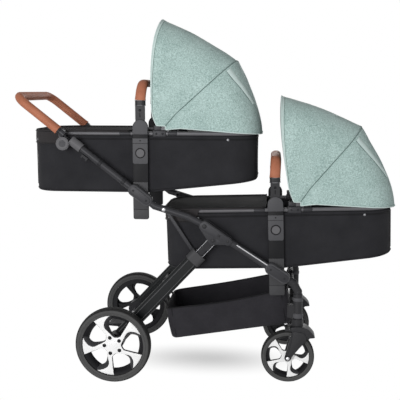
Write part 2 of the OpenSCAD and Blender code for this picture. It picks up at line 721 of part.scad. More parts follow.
// Cots
function side_points(inset, top) = let (r = cot_edge_r - inset, x0 = -foot_l + inset, x1 = head_l - inset,
    z0 = floor_z + inset, z1 = floor_z + head_rise + inset, n = 5)
    concat([[x0, top]], arc([x0 + r, z0 + r], r, 180, 270, n), [[-foot_l + level_l, z0]],
        arc([x1 - r, z1 + r], r, 270, 360, n), [[x1, top]]);
module cot_solid(inset, top) intersection() {
    translate([0, 0, floor_z]) linear_extrude(top - floor_z)
        plan_2d(-foot_l + inset, head_l - inset, cot_y - inset, cot_corner_r - inset);
    across(-cot_y, cot_y) polygon(side_points(inset, top));
}
module tub(c) color("black") in_cot(c) difference() {
    cot_solid(0, cot_top);
    cot_solid(cot_wall, cot_top + over);
}
module mattress(c) color("white") in_cot(c) intersection() {
    cot_solid(cot_wall + gap, cot_top);
    translate([-cot_l, -cot_w, floor_z - over]) cube([2 * cot_l, 2 * cot_w, over + cot_wall + gap + mattress_t]);
}
module rim_tube(c) color("gray") in_cot(c) {
    rotate([0, 90, 0]) u_bar(rim_y, head_l - rim_r, cot_corner_r - rim_r, 0) circle(r = rim_r);
    rotate([0, -90, 0]) u_bar(rim_y, foot_l - rim_r, cot_corner_r - rim_r, 0) circle(r = rim_r);
    pair() {
        across(bracket_y, bracket_y + bracket_t)
            bar_2d([pivot[0], 0], pivot, 2 * bow_eye_r, bow_eye_r);
        pin(pivot, bow_pin_d / 2, bracket_y, front_eye_y + eye_t);
    }
}
module apron(c) color("black") in_cot(c) difference() {
    translate([0, 0, -skirt_h]) linear_extrude(skirt_h + rim_r + gap + apron_t)
        plan_2d(-foot_l - gap - apron_t / 2, head_l, cot_y + gap + apron_t / 2, cot_corner_r + gap + apron_t / 2);
    translate([0, 0, -skirt_h - over]) linear_extrude(skirt_h + over + rim_r + gap)
        plan_2d(-foot_l - gap, head_l, cot_y + gap, cot_corner_r + gap);
    translate([-apron_back, -cot_w, -cot_depth]) cube([cot_l, 2 * cot_w, 2 * cot_depth]);
    translate([skirt_l - foot_l, -cot_w, -cot_depth]) cube([cot_l, 2 * cot_w, cot_depth + rim_r + gap]);
}
module adapters(c) color("gray") in_cot(c) pair() difference() {
    union() {
        across(strip_in_y, strip_out_y) {
            bar_2d([0, strip_up - strip_r], [0, strip_r - strip_down], strip_r, strip_r);
            translate([-strip_r, -strip_down]) square([strip_w, strip_r]);
        }
        across(strip_out_y - over, pad_out_y) translate([-strip_r, -pad_shares[1] * strip_down])
            square([strip_w, (pad_shares[1] - pad_shares[0]) * strip_down]);
    }
    pin([0, -button_drop], button_r + run_gap, strip_out_y - button_well - button_travel, strip_out_y + over);
    across(strip_out_y - groove_depth, strip_out_y + over) translate([-strip_w, -groove_shares[1] * strip_down])
        square([2 * strip_w, (groove_shares[1] - groove_shares[0]) * strip_down]);
    translate([-tongue_w / 2 - gap, strip_in_y + (strip_t - tongue_t) / 2 - gap, strip_up - tongue_h - gap])
        cube([tongue_w + 2 * gap, tongue_t + 2 * gap, tongue_h + strip_r]);
}
module release_button(c, side) color("silver") in_cot(c) on_side(side)
    pin([0, -button_drop], button_r, strip_out_y - button_well + gap, button_out_y);
module bumper_stems(c) color("gray") in_cot(c) pair() {
    stem_z = strip_up + gap;
    translate([-tongue_w / 2, strip_in_y + (strip_t - tongue_t) / 2, strip_up - tongue_h])
        cube([tongue_w, tongue_t, tongue_h + over]);
    translate([-tongue_w / 2, strip_in_y, stem_z]) cube([tongue_w, strip_t, stem_h]);
    translate([0, bar_y, stem_z + stem_h]) linear_extrude(bar_collar_h) rotate([0, 0, 90])
        oval_2d(bar_t, bar_w);
}
module bumper_bar(c) color("peru") in_cot(c)
    u_bar(bar_y, bar_up - bar_t / 2, bar_corner_r, strip_up + gap + stem_h + bar_collar_h) oval_2d(bar_t, bar_w);

// Bows
module bow(c, deg, l, eye_y) color("silver") in_cot(c) in_bow(deg) {
    u_bar(bow_y - 3 * bow_gap, l - hood_t - 3 * bow_gap - bow_d, hood_corner_r, bow_start) circle(r = bow_r);
    pair() difference() {
        union() {
            pin([0, 0], bow_eye_r, eye_y, eye_y + eye_t);
            translate([-bow_r, eye_y, 0]) cube([bow_d, eye_t, bow_start + bow_d]);
        }
        pin([0, 0], bow_pin_d / 2 + run_gap, eye_y - over, eye_y + eye_t + over);
    }
}

// Hood cloth: rings of points round each hoop, outer side first, then back along the inner side
function hoop_point(u, l, w, r) = let (leg = l - r - hood_start, turn = PI * r / 2, top = w - r,
    d = (1 - abs(2 * u - 1)) * (leg + turn + top), a = (d - leg) / r * 180 / PI)
    d < leg ? [hood_start + d, w] : d < leg + turn ? [l - r + r * sin(a), w - r + r * cos(a)]
        : [l, w - r - (d - leg - turn)];
function hoop(l, inset) = [for (i = [0:4 * hood_steps]) let (u = i / (4 * hood_steps),
    p = hoop_point(u, l - inset, hood_y - inset, hood_corner_r - inset)) [p[0], u < 0.5 ? p[1] : -p[1]]];
function ring(l, deg, ahead) = let (outer = hoop(l, 0), inner = hoop(l, hood_t), m = len(outer),
    all = concat(outer, [for (i = [m - 1:-1:0]) inner[i]]))
    [for (p = all) let (s = ahead * (1 - pow(p[0] / l, 3)))
        [pivot[0] + p[0] * cos(deg) - s, p[1], pivot[1] + p[0] * sin(deg)]];
function puffed(p, k) = [pivot[0] + k * (p[0] - pivot[0]), p[1], pivot[1] + k * (p[2] - pivot[1])];
function mixed(a, b, v, puff = 0) = [for (i = [0:len(a) - 1])
    puffed(a[i] + v * (b[i] - a[i]), 1 + 4 * puff * v * (1 - v))];
module cloth(rings) {
    n = len(rings[0]);
    m = len(rings);
    h = n / 2;
    points = [for (r = rings, p = r) p];
    sides = [for (j = [0:m - 2], i = [0:n - 1]) let (a = j * n + i, b = j * n + (i + 1) % n)
        each [[a, b, b + n], [a, b + n, a + n]]];
    last = (m - 1) * n;
    caps = [for (i = [0:h - 2]) each [[i, n - 2 - i, i + 1], [i, n - 1 - i, n - 2 - i],
        [last + i, last + i + 1, last + n - 2 - i], [last + i, last + n - 2 - i, last + n - 1 - i]]];
    polyhedron(points, concat(sides, caps));
}
module hood_front(c) color("mediumaquamarine") in_cot(c) {
    front = ring(front_l, front_degs[c], lip);
    mid = ring(mid_l, mid_degs[c], 0);
    cloth([for (j = [0:hood_rings]) mixed(front, mid, j / hood_rings * (1 - gap / mid_l), puff_share)]);
}
module hood_rear(c) color("mediumaquamarine") in_cot(c) {
    mid = ring(mid_l, mid_degs[c] - bow_gap, 0);
    seam = ring(seam_l, seam_deg, 0);
    tail = ring(tail_l, tail_deg, 0);
    cloth(concat([for (j = [0:hood_rings - 1]) mixed(mid, seam, j / hood_rings, puff_share / 3)],
        [for (j = [0:hood_rings]) mixed(seam, tail, j / hood_rings)]));
}

module upper_tub() tub(0);
module upper_rim() rim_tube(0);
module upper_apron() apron(0);
module upper_mattress() mattress(0);
module upper_adapters() adapters(0);
module upper_button_right() release_button(0, -1);
module upper_button_left() release_button(0, 1);
module upper_bumper_stems() bumper_stems(0);
module upper_bumper_bar() bumper_bar(0);
module upper_front_bow() bow(0, front_degs[0], front_l, front_eye_y);
module upper_mid_bow() bow(0, mid_degs[0], mid_l, mid_eye_y);
module upper_hood_front() hood_front(0);
module upper_hood_rear() hood_rear(0);
module lower_tub() tub(1);
module lower_rim() rim_tube(1);
module lower_apron() apron(1);
module lower_mattress() mattress(1);
module lower_adapters() adapters(1);
module lower_button_right() release_button(1, -1);
module lower_button_left() release_button(1, 1);
module lower_bumper_stems() bumper_stems(1);
module lower_bumper_bar() bumper_bar(1);
module lower_front_bow() bow(1, front_degs[1], front_l, front_eye_y);
module lower_mid_bow() bow(1, mid_degs[1], mid_l, mid_eye_y);
module lower_hood_front() hood_front(1);
module lower_hood_rear() hood_rear(1);

front_tubes();
hinge_blocks();
hinge_pins();
lower_sleeves();
caster_housings();
front_crossbar();
basket();
basket_board();
leg_frame();
leg_collars();
shock_pieces();
rear_axle();
wheel_housings();
brake_pedal();
handle_tubes();
upper_sleeves();
tilt_housings();
fold_trigger_right();
fold_trigger_left();
handle_bar();
grip_leather();
tilt_button_right();
tilt_button_left();
fold_links();
rear_tyre_right();
rear_rim_right();
rear_tyre_left();
rear_rim_left();
front_tyre_right();
front_rim_right();
front_tyre_left();
front_rim_left();
fork_right();
fork_left();
upper_tub();
upper_rim();
upper_apron();
upper_mattress();
upper_adapters();
upper_button_right();
upper_button_left();
upper_bumper_stems();
upper_bumper_bar();
upper_front_bow();
upper_mid_bow();
upper_hood_front();
upper_hood_rear();
lower_tub();
lower_rim();
lower_apron();
lower_mattress();
lower_adapters();
lower_button_right();
lower_button_left();
lower_bumper_stems();
lower_bumper_bar();
lower_front_bow();
lower_mid_bow();
lower_hood_front();
lower_hood_rear();
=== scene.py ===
"""Looks of a tandem pram with two carrycots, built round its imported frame."""
from math import acos, asin, atan2, cos, degrees, exp, hypot, pi, radians, sin, sqrt

import bmesh
import bpy
from mathutils import Matrix, Vector, noise


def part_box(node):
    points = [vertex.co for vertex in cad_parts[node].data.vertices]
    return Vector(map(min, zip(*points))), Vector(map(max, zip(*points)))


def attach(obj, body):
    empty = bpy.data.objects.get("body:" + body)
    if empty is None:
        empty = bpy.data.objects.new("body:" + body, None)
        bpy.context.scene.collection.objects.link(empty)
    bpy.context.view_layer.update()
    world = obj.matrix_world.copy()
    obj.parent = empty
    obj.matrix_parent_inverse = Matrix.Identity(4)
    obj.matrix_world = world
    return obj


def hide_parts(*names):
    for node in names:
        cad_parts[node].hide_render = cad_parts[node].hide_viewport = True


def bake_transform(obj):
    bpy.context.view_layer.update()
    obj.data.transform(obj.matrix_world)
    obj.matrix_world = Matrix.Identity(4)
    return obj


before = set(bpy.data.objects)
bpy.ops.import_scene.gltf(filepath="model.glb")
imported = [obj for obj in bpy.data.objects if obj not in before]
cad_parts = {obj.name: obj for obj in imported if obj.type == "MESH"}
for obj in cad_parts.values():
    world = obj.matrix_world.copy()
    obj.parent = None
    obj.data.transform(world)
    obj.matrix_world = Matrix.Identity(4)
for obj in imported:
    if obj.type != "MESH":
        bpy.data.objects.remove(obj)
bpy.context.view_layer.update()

# Finishes

WAVE = 2 * pi / 20  # spacing of a wave texture's bands at scale 1


def srgb(r, g, b):
    """A colour written in display values, as the shader's linear one."""
    linear = [((c / 255 + 0.055) / 1.055) ** 2.4 if c > 10 else c / 255 / 12.92 for c in (r, g, b)]
    return (*linear, 1.0)


class Shade:
    """A socket of a node tree, so that its maths reads as Python."""

    def __init__(self, nodes, socket):
        self.nodes, self.socket = nodes, socket

    def _math(self, operation, a, b):
        return self.nodes.node("ShaderNodeMath", {"operation": operation}, {0: a, 1: b})

    def __add__(self, other):
        return self._math("ADD", self, other)

    def __radd__(self, other):
        return self._math("ADD", other, self)

    def __sub__(self, other):
        return self._math("SUBTRACT", self, other)

    def __rsub__(self, other):
        return self._math("SUBTRACT", other, self)

    def __mul__(self, other):
        return self._math("MULTIPLY", self, other)

    def __rmul__(self, other):
        return self._math("MULTIPLY", other, self)


class Nodes:
    """A node tree that is built by calls."""

    def __init__(self, tree):
        self.tree = tree

    def only(self, kind):
        """The node of a kind that the tree starts with."""
        return next(n for n in self.tree.nodes if n.type == kind)

    def node(self, kind, settings, sockets, out=0):
        made = self.tree.nodes.new(kind)
        for name, value in settings.items():
            setattr(made, name, value)
        for name, value in sockets.items():
            self.feed(made.inputs[name], value)
        return Shade(self, made.outputs[out])

    def feed(self, socket, value):
        if isinstance(value, Shade):
            self.tree.links.new(value.socket, socket)
        else:
            socket.default_value = value

    def clamped(self, a, b):
        """A sum kept between 0 and 1."""
        return self.node("ShaderNodeMath", {"operation": "ADD", "use_clamp": True}, {0: a, 1: b})

    def seen_level(self, plain):
        """Full strength where the camera, metal or glass sees it, and a plain level as light."""
        seen = 0.0
        for ray in ("Is Camera Ray", "Is Glossy Ray", "Is Transmission Ray"):
            seen = self.clamped(self.node("ShaderNodeLightPath", {}, {}, ray), seen)
        return seen * (1 - plain) + plain


class Finish(Nodes):
    """A material whose look comes from nodes on Object coordinates."""

    def __init__(self, name, **constants):
        self.material = bpy.data.materials.new(name)
        self.material.use_nodes = True
        super().__init__(self.material.node_tree)
        self.shader = self.only("BSDF_PRINCIPLED")
        self.place = self.node("ShaderNodeTexCoord", {}, {}, "Object")
        for socket, value in constants.items():
            self.give(socket.replace("_", " "), value)

    def give(self, socket, value):
        self.feed(self.shader.inputs[socket], value)

    def noise(self, scale, detail=3.0):
        return self.node("ShaderNodeTexNoise", {}, {"Vector": self.place, "Scale": scale, "Detail": detail})

    def threads(self, pitch, way):
        sockets = {"Vector": self.place, "Scale": WAVE / pitch, "Distortion": 0.6, "Detail Scale": 4.0}
        return self.node("ShaderNodeTexWave", {"bands_direction": way}, sockets, 1)

    def cells(self, scale):
        sockets = {"Vector": self.place, "Scale": scale}
        return self.node("ShaderNodeTexVoronoi", {"feature": "SMOOTH_F1"}, sockets)

    def stretched(self, scale):
        """The place, scaled differently along each axis."""
        return self.node("ShaderNodeMapping", {}, {"Vector": self.place, "Scale": scale})

    def mix(self, share, first, second):
        """Two colours mixed. The Mix node's colours are its inputs 6 and 7 and its output 2."""
        return self.node("ShaderNodeMix", {"data_type": "RGBA"}, {0: share, 6: first, 7: second}, 2)

    def colour(self, share, dark, light):
        self.give("Base Color", self.mix(share, srgb(*dark), srgb(*light)))

    def bump(self, height, strength, distance):
        self.give("Normal", self.node("ShaderNodeBump", {},
                                      {"Height": height, "Strength": strength, "Distance": distance}))


def cloth_finish(name, light, dark, pitch, rough=0.85, sheen=0.2, yarn=900.0, fleck_depth=1.3):
    """Woven cloth: two sets of threads, a fleck in the yarn and slow patches of shade."""
    f = Finish(name, Sheen_Weight=sheen, Sheen_Roughness=0.6, Specular_IOR_Level=0.08)
    weave = f.threads(pitch, "X") * f.threads(pitch, "Z") + f.threads(pitch, "Y") * 0.5
    fleck = f.noise(yarn, 2.0)
    patch = f.noise(14.0, 4.0)
    f.colour(f.clamped((fleck - 0.5) * fleck_depth + (patch - 0.5) * 0.7, 0.5 + weave * 0.06), dark, light)
    f.give("Roughness", rough - patch * 0.12)
    f.bump(weave * 0.6 + fleck * 0.4 + patch * 1.2, 0.35, 0.0008)
    return f.material


def leather_finish(name, light, dark):
    """Tanned leather: pebbled grain, darker in the grain and in handled patches."""
    f = Finish(name, Specular_IOR_Level=0.15)
    grain = f.cells(520.0)
    wear = f.noise(22.0, 5.0)
    f.colour(f.clamped(wear * 1.1 - 0.15, grain * 0.35), dark, light)
    f.give("Roughness", 0.5 + wear * 0.2 - grain * 0.08)
    f.bump(grain * 0.7 + f.noise(1400.0, 2.0) * 0.3, 0.3, 0.0006)
    return f.material


def moulded_finish(name, light, dark, rough=0.5, grain=1500.0, metal=0.0, coat=0.0, shine=0.16):
    """Moulded plastic or a powder coat: fine grain and faint handling marks."""
    f = Finish(name, Metallic=metal, Coat_Weight=coat, Coat_Roughness=0.3, Specular_IOR_Level=shine)
    fine = f.noise(grain, 2.0)
    marks = f.noise(9.0, 6.0)
    f.colour(marks * 0.7 + fine * 0.3, dark, light)
    f.give("Roughness", rough + (marks - 0.5) * 0.22)
    f.bump(fine, 0.18, 0.0004)
    return f.material


def metal_finish(name, light, dark, rough=0.28):
    """Bare metal with fine drawn lines and dull patches."""
    f = Finish(name, Metallic=1.0)
    drawn = f.node("ShaderNodeTexNoise", {},
                   {"Vector": f.stretched((60.0, 900.0, 900.0)), "Scale": 1.0, "Detail": 4.0})
    dull = f.noise(18.0, 4.0)
    f.colour(drawn * 0.5 + dull * 0.5, dark, light)
    f.give("Roughness", rough + (dull - 0.5) * 0.2 + (drawn - 0.5) * 0.1)
    f.bump(drawn, 0.06, 0.0003)
    return f.material


def rubber_finish(name, light, dark):
    """Tyre rubber: dusty, with a faint mould texture."""
    f = Finish(name, Specular_IOR_Level=0.12)
    dust = f.noise(30.0, 5.0)
    fine = f.noise(700.0, 3.0)
    f.colour(dust * 0.8 + fine * 0.2, dark, light)
    f.give("Roughness", 0.7 + (dust - 0.5) * 0.25)
    f.bump(fine, 0.25, 0.0005)
    return f.material


MINT = cloth_finish("mint_cloth", (194, 217, 213), (142, 168, 163), 0.0013, yarn=240.0, fleck_depth=2.6)
MINT_TRIM = cloth_finish("mint_binding", (222, 238, 235), (186, 208, 204), 0.0009)
# Darker mint thread for the hood's seams; the same finish paints the shadow lines beside the rear ribbons.
MINT_SEAM_AND_SHADOW = cloth_finish("mint_thread_and_painted_shadow", (104, 128, 123), (80, 102, 97), 0.0008)
BLACK = cloth_finish("black_cloth", (52, 52, 55), (31, 31, 34), 0.0014, rough=0.9, sheen=0.03)
# The apron's black cloth, set darker than the tub's: painted shade on the apron's top.
APRON_PAINTED_SHADE = cloth_finish("apron_cloth", (28, 28, 30), (12, 12, 14), 0.0014, rough=0.9, sheen=0.0)
BLACK_BAND = cloth_finish("black_band", (62, 60, 61), (42, 40, 41), 0.0012, sheen=0.03)
BLACK_SEAM = cloth_finish("black_thread", (40, 40, 42), (22, 22, 24), 0.0008, rough=0.8, sheen=0.02)
BASKET = cloth_finish("basket_cloth", (58, 57, 61), (34, 33, 37), 0.0016, rough=0.9, sheen=0.03)
QUILT = cloth_finish("mattress_cloth", (236, 236, 233), (212, 212, 208), 0.0016, rough=0.9, sheen=0.15)
LEATHER = leather_finish("tan_leather", (196, 127, 99), (146, 88, 64))
LEATHER_SEAM = cloth_finish("leather_thread", (150, 96, 72), (120, 74, 54), 0.0006, rough=0.9, sheen=0.0)
FRAME = moulded_finish("frame_coat", (62, 62, 65), (42, 42, 45), rough=0.42, grain=1200.0, metal=0.15)
FRAME_DARK = moulded_finish("frame_dark", (54, 54, 56), (36, 36, 38), rough=0.45, grain=1200.0, metal=0.1)
LEG_COAT = moulded_finish("leg_coat", (26, 28, 29), (13, 15, 16), rough=0.42, grain=1200.0, metal=0.12)
RIM_COAT = moulded_finish("rim_coat", (112, 111, 114), (84, 84, 87), rough=0.4, grain=1200.0, metal=0.15)
GREY = moulded_finish("grey_plastic", (86, 86, 89), (66, 66, 69))
LOW_GREY = moulded_finish("low_grey_plastic", (72, 72, 74), (54, 54, 56))
MID_GREY = moulded_finish("mid_grey_plastic", (108, 107, 110), (84, 84, 86))
SCOOP = moulded_finish("wheel_grey", (66, 66, 68), (46, 46, 48))
DARK = moulded_finish("dark_plastic", (42, 42, 45), (25, 25, 28), grain=900.0)
DEEP = moulded_finish("deep_plastic", (26, 26, 29), (13, 13, 15), rough=0.55, grain=900.0)
WHITE = moulded_finish("white_plastic", (250, 250, 250), (240, 240, 240), rough=0.35, grain=1800.0, coat=0.3,
                       shine=0.5)
STEEL = metal_finish("steel", (206, 206, 208), (158, 158, 161))
SATIN = metal_finish("satin_metal", (150, 150, 153), (112, 112, 115), rough=0.4)
TYRE_SIDE = rubber_finish("tyre_side", (88, 88, 88), (66, 66, 66))
TYRE_TREAD = rubber_finish("tyre_tread", (48, 48, 48), (28, 28, 28))

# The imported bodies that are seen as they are
SHOWN = (
    (FRAME, "front_tubes hinge_blocks handle_tubes handle_bar"),
    (FRAME_DARK, "hinge_pins caster_housings front_crossbar fork_right fork_left"),
    (FRAME_DARK, "upper_bumper_stems lower_bumper_stems"),
    (DARK, "basket_board shock_pieces wheel_housings brake_pedal fold_trigger_right fold_trigger_left"),
    (LEG_COAT, "leg_frame"), (LOW_GREY, "leg_collars"), (STEEL, "rear_axle"),
    (RIM_COAT, "upper_rim lower_rim"), (GREY, "tilt_button_right tilt_button_left"),
    (MID_GREY, "tilt_housings upper_button_right upper_button_left lower_button_right lower_button_left"),
    (SATIN, "upper_front_bow upper_mid_bow lower_front_bow lower_mid_bow"))
for finish, names in SHOWN:
    for name in names.split():
        for material_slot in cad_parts[name].material_slots:
            material_slot.material = finish

# Places, in millimetres from the rear axle

low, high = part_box("rear_tyre_right")
AXLE_X = (low.x + high.x) / 2
PRAM = Matrix.Translation((AXLE_X, 0, 0)) @ Matrix.Scale(0.001, 4)
UPRIGHT = Matrix.Rotation(pi / 2, 4, "X")  # stands a round piece's axis up
LENGTHWISE = Matrix.Rotation(-pi / 2, 4, "Z")  # lays a round piece's axis along the pram
SIDES = ((-1, "right"), (1, "left"))


def plus(p, share, way):
    """A point moved along a way, in side view."""
    return (p[0] + share * way[0], p[1] + share * way[1])


def from_to(p, q):
    return (q[0] - p[0], q[1] - p[1])


def unit(p, q):
    x, z = from_to(p, q)
    return (x / hypot(x, z), z / hypot(x, z))


def left_of(way):
    return (-way[1], way[0])


def slope(deg):
    return (cos(radians(deg)), sin(radians(deg)))


def placed(p, tilt=0.0, y=0.0):
    """The place of a piece at a point in side view, tilted up at its front end."""
    return Matrix.Translation((p[0], y, p[1])) @ Matrix.Rotation(radians(-tilt), 4, "Y")


TUBE_Y = 212.0
AXLE, FRONT_AXLE = (0.0, 145.0), (663.0, 101.0)
ELBOW, HINGE = (698.0, 374.0), (345.0, 601.0)
FRONT_WAY = unit(HINGE, ELBOW)
LEG_PIVOT = plus(plus(HINGE, 56, FRONT_WAY), -28, left_of(FRONT_WAY))
LEG_WAY = unit(LEG_PIVOT, AXLE)
LOW_BEND, HIGH_BEND = (282.0, 633.0), (154.0, 672.0)
RUN_DEG, GRIP_DEG = 37.9, 38.4
RUN_WAY = slope(180 - RUN_DEG)
RUN_TOP = plus(HIGH_BEND, 418, RUN_WAY)
HUB = plus(RUN_TOP, 27, left_of(RUN_WAY))
LINK_PIN = plus(HIGH_BEND, 0.28, from_to(HIGH_BEND, LOW_BEND))
LINK_FOOT = plus(LEG_PIVOT, 97.25, LEG_WAY)
UPPER_SLEEVE, LOWER_SLEEVE = plus(HIGH_BEND, 68, RUN_WAY), plus(ELBOW, -92, FRONT_WAY)
CROSSBAR = plus(ELBOW, -28.08, FRONT_WAY)
LEG_BAR = plus(LEG_PIVOT, 0.6, from_to(LEG_PIVOT, AXLE))
GRIP = PRAM @ placed(RUN_TOP, 90 - GRIP_DEG)
BASKET_PLACE = PRAM @ placed((214, 128), 9.5)
# Each cot's middle and tilt, the slopes of its front and middle bows, and how far its hood's lip leads
COTS = {"upper": (plus(UPPER_SLEEVE, 1, (-3, 230)), 0.0, 92.6, 41.4, 46),
        "lower": (plus(LOWER_SLEEVE, 1, (-11, 234)), 1.8, 98.6, 47.4, 32)}

# Making


def steps_of(n):
    """Shares from 0 to 1 in n steps."""
    return [i / n for i in range(n + 1)]


def row_at(rows, share):
    """The row that lies at a share of a list's length."""
    return rows[round(share * (len(rows) - 1))]


def moved(bm, matrix):
    bmesh.ops.transform(bm, matrix=matrix, verts=bm.verts)
    return bm


def surface(nu, nv, shape, close=False):
    """A grid whose points follow shape(u, v), with u and v from 0 to 1."""
    bm = bmesh.new()
    bmesh.ops.create_grid(bm, x_segments=nu, y_segments=nv, size=1.0)
    for v in bm.verts:
        v.co = shape((v.co.x + 1) / 2, (v.co.y + 1) / 2)
    if close:
        bmesh.ops.remove_doubles(bm, verts=bm.verts, dist=0.001)
    return bm


def capped(bm, below=1e6):
    """Closes the holes whose rim lies below a height."""
    bmesh.ops.holes_fill(bm, edges=[e for e in bm.edges if e.is_boundary and e.verts[0].co.z < below])
    return bm


def outward(bm, centre):
    """Turns an open sheet's faces away from a point."""
    bmesh.ops.recalc_face_normals(bm, faces=bm.faces)
    bm.normal_update()
    if sum(f.calc_area() * f.normal.dot(f.calc_center_median() - Vector(centre)) for f in bm.faces) < 0:
        bmesh.ops.reverse_faces(bm, faces=bm.faces)
    return bm


def sweep(path, wide, thick, across, around=20, fill=True):
    """A bar with an oval section along a path. Its width lies along the given direction."""
    path = [Vector(p) for p in path]
    across = Vector(across)
    last = len(path) - 1
    ends = [path[min(i + 1, last)] - path[max(i - 1, 0)] for i in range(last + 1)]

    def shape(u, v):
        i = round(u * last)
        way = ends[i].normalized()
        side = (across - across.dot(way) * way).normalized()
        a = 2 * pi * v
        return path[i] + cos(a) * wide / 2 * side + sin(a) * thick / 2 * way.cross(side)

    bm = surface(last, around, shape, True)
    if fill:
        capped(bm)
    bmesh.ops.recalc_face_normals(bm, faces=bm.faces)
    return bm


def cord(path, thick, across=(0, 0, 1), around=8, fill=True):
    return sweep(path, thick, thick, across, around, fill)


def u_path(half, top, corner, start, steps=10):
    """The middle line of a U-shaped bar: up one side, across and down."""
    side = [(0, half, start + (top - corner - start) * i / 6) for i in range(6)]
    side += [(0, half - corner + corner * cos(a), top - corner + corner * sin(a))
             for a in (pi / 2 * t for t in steps_of(steps))]
    across = [(0, (half - corner) * (1 - i / 8), top) for i in range(1, 9)]
    half_path = side + across
    return half_path + [(x, -y, z) for x, y, z in reversed(half_path[:-1])]


def bar_outline(p, q, r, s, steps=14):
    """Two rounded ends joined by straight sides, in side view."""
    x, z = from_to(p, q)
    way = atan2(z, x)
    lean = acos(max(-1, min(1, (r - s) / hypot(x, z))))
    ends = [(p, r, way + lean, way + 2 * pi - lean), (q, s, way - lean, way + lean)]
    return [(c[0] + k * cos(a + (b - a) * t), c[1] + k * sin(a + (b - a) * t))
            for c, k, a, b in ends for t in steps_of(steps)]


def rounded(bm, edges, soft, steps):
    if soft:
        bmesh.ops.bevel(bm, geom=edges, offset=soft, segments=steps, profile=0.5, affect="EDGES", material=-1)
    return bm


def plate(outline, y0, y1, soft=0.0, steps=3):
    """A plate drawn in side view, with its rims rounded."""
    bm = bmesh.new()
    face = bm.faces.new([bm.verts.new((x, y0, z)) for x, z in outline])
    made = bmesh.ops.extrude_face_region(bm, geom=[face])["geom"]
    bmesh.ops.translate(bm, verts=[v for v in made if isinstance(v, bmesh.types.BMVert)], vec=(0, y1 - y0, 0))
    bmesh.ops.recalc_face_normals(bm, faces=bm.faces)
    return rounded(bm, [e for e in bm.edges if abs(e.verts[0].co.y - e.verts[1].co.y) < 1e-6], soft, steps)


def bar(p, q, r, s, y0, y1, soft, steps=3, around=14):
    """A plate with two rounded ends."""
    return plate(bar_outline(p, q, r, s, around), y0, y1, soft, steps)


def box(low, high, soft=0.0, steps=3):
    """A block between two corners, with its edges rounded."""
    bm = bmesh.new()
    bmesh.ops.create_cube(bm, size=1.0)
    low, high = Vector(low), Vector(high)
    bmesh.ops.scale(bm, verts=bm.verts, vec=high - low)
    bmesh.ops.translate(bm, verts=bm.verts, vec=(low + high) / 2)
    return rounded(bm, bm.edges[:], soft, steps)


def spun(profile, steps=48, centre=(0, 0)):
    """A round piece about an axis across the pram, from (radius, y) points."""
    bm = bmesh.new()
    points = [bm.verts.new((r, y, 0)) for r, y in profile]
    edges = [bm.edges.new(pair) for pair in zip(points, points[1:])]
    bmesh.ops.spin(bm, geom=points + edges, cent=(0, 0, 0), axis=(0, 1, 0), dvec=(0, 0, 0),
                   angle=2 * pi, steps=steps, use_merge=True)
    bmesh.ops.remove_doubles(bm, verts=bm.verts, dist=0.001)
    bmesh.ops.recalc_face_normals(bm, faces=bm.faces)
    bmesh.ops.translate(bm, verts=bm.verts, vec=(centre[0], 0, centre[1]))
    return bm


def button_head(p, y, r, rise=2.4):
    """A domed pin head."""
    return spun([(0.0, y + rise), (0.55 * r, y + 0.9 * rise), (0.9 * r, y + 0.45 * rise), (r, y), (r, y - 1),
                 (0.0, y - 1)], 24, p)


def joined(*parts):
    """Several shapes as one."""
    bm = bmesh.new()
    for part in parts:
        mesh = bpy.data.meshes.new("part")
        part.to_mesh(mesh)
        part.free()
        bm.from_mesh(mesh)
        bpy.data.meshes.remove(mesh)
    return bm


def on_side(bm, side):
    """A shape made for the far side, carried to either side."""
    if side < 0:
        bmesh.ops.scale(bm, verts=bm.verts, vec=(1, -1, 1))
        bmesh.ops.reverse_faces(bm, faces=bm.faces)
    return bm


def paired(bm):
    """The same shape on both sides."""
    return joined(bm.copy(), on_side(bm, -1))


def tinted(bm, index, where=lambda f: True):
    """Gives faces the piece's finish of that number."""
    bm.normal_update()
    for f in bm.faces:
        if where(f):
            f.material_index = index
    return bm


def piece(name, bm, place, finishes, body=None, stands_for=(), wall=0.0, smooth=40.0, subdivide=0):
    """Finishes a shape as a piece of the pram."""
    mesh = bpy.data.meshes.new(name)
    moved(bm, place).to_mesh(mesh)
    bm.free()
    mesh.shade_smooth()
    mesh.set_sharp_from_angle(angle=radians(smooth))
    for finish in finishes if isinstance(finishes, (list, tuple)) else [finishes]:
        mesh.materials.append(finish)
    obj = bpy.data.objects.new(name, mesh)
    bpy.context.scene.collection.objects.link(obj)
    if wall:
        solid = obj.modifiers.new("wall", "SOLIDIFY")
        solid.thickness, solid.offset = wall / 1000, -1.0
    if subdivide:
        fine = obj.modifiers.new("fine", "SUBSURF")
        fine.levels = fine.render_levels = subdivide
    if body:
        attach(obj, body)
    if stands_for:
        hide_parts(*stands_for)
    return obj


SLACK = 1.08  # cloth taken up by seams


def cloth_piece(name, bm, place, finish, body, stands_for, wall, width):
    """A sheet of cloth. A flat length is worked out from its width and its own area, and then dropped."""
    area = sum(f.calc_area() for f in bm.faces) * place.median_scale ** 2
    obj = piece(name, bm, place, finish, body, [stands_for], wall)
    SLACK * area / width
    return obj


# Camera, light and floor

PHOTO_PX, FOCAL_PX, SENSOR = 400, 744.4866, 36.0
LOOK_DOWN, LOOK_LEFT = 0.146, 0.0975
scene = bpy.context.scene
camera = bpy.data.objects.new("camera", bpy.data.cameras.new("camera"))
camera.data.lens, camera.data.sensor_width = SENSOR * FOCAL_PX / PHOTO_PX, SENSOR
camera.location = (AXLE_X + 0.5959, -2.9667, 1.105)
camera.rotation_euler = (pi / 2 - LOOK_DOWN, 0, LOOK_LEFT)
scene.collection.objects.link(camera)
scene.camera = camera
scene.view_settings.view_transform = "Standard"


def lamp(name, place, aim, size, power):
    data = bpy.data.lights.new(name, "AREA")
    data.shape, data.size, data.energy = "DISK", size, power
    obj = bpy.data.objects.new(name, data)
    obj.location = place
    obj.rotation_euler = (Vector(aim) - Vector(place)).to_track_quat("-Z", "Y").to_euler()
    scene.collection.objects.link(obj)


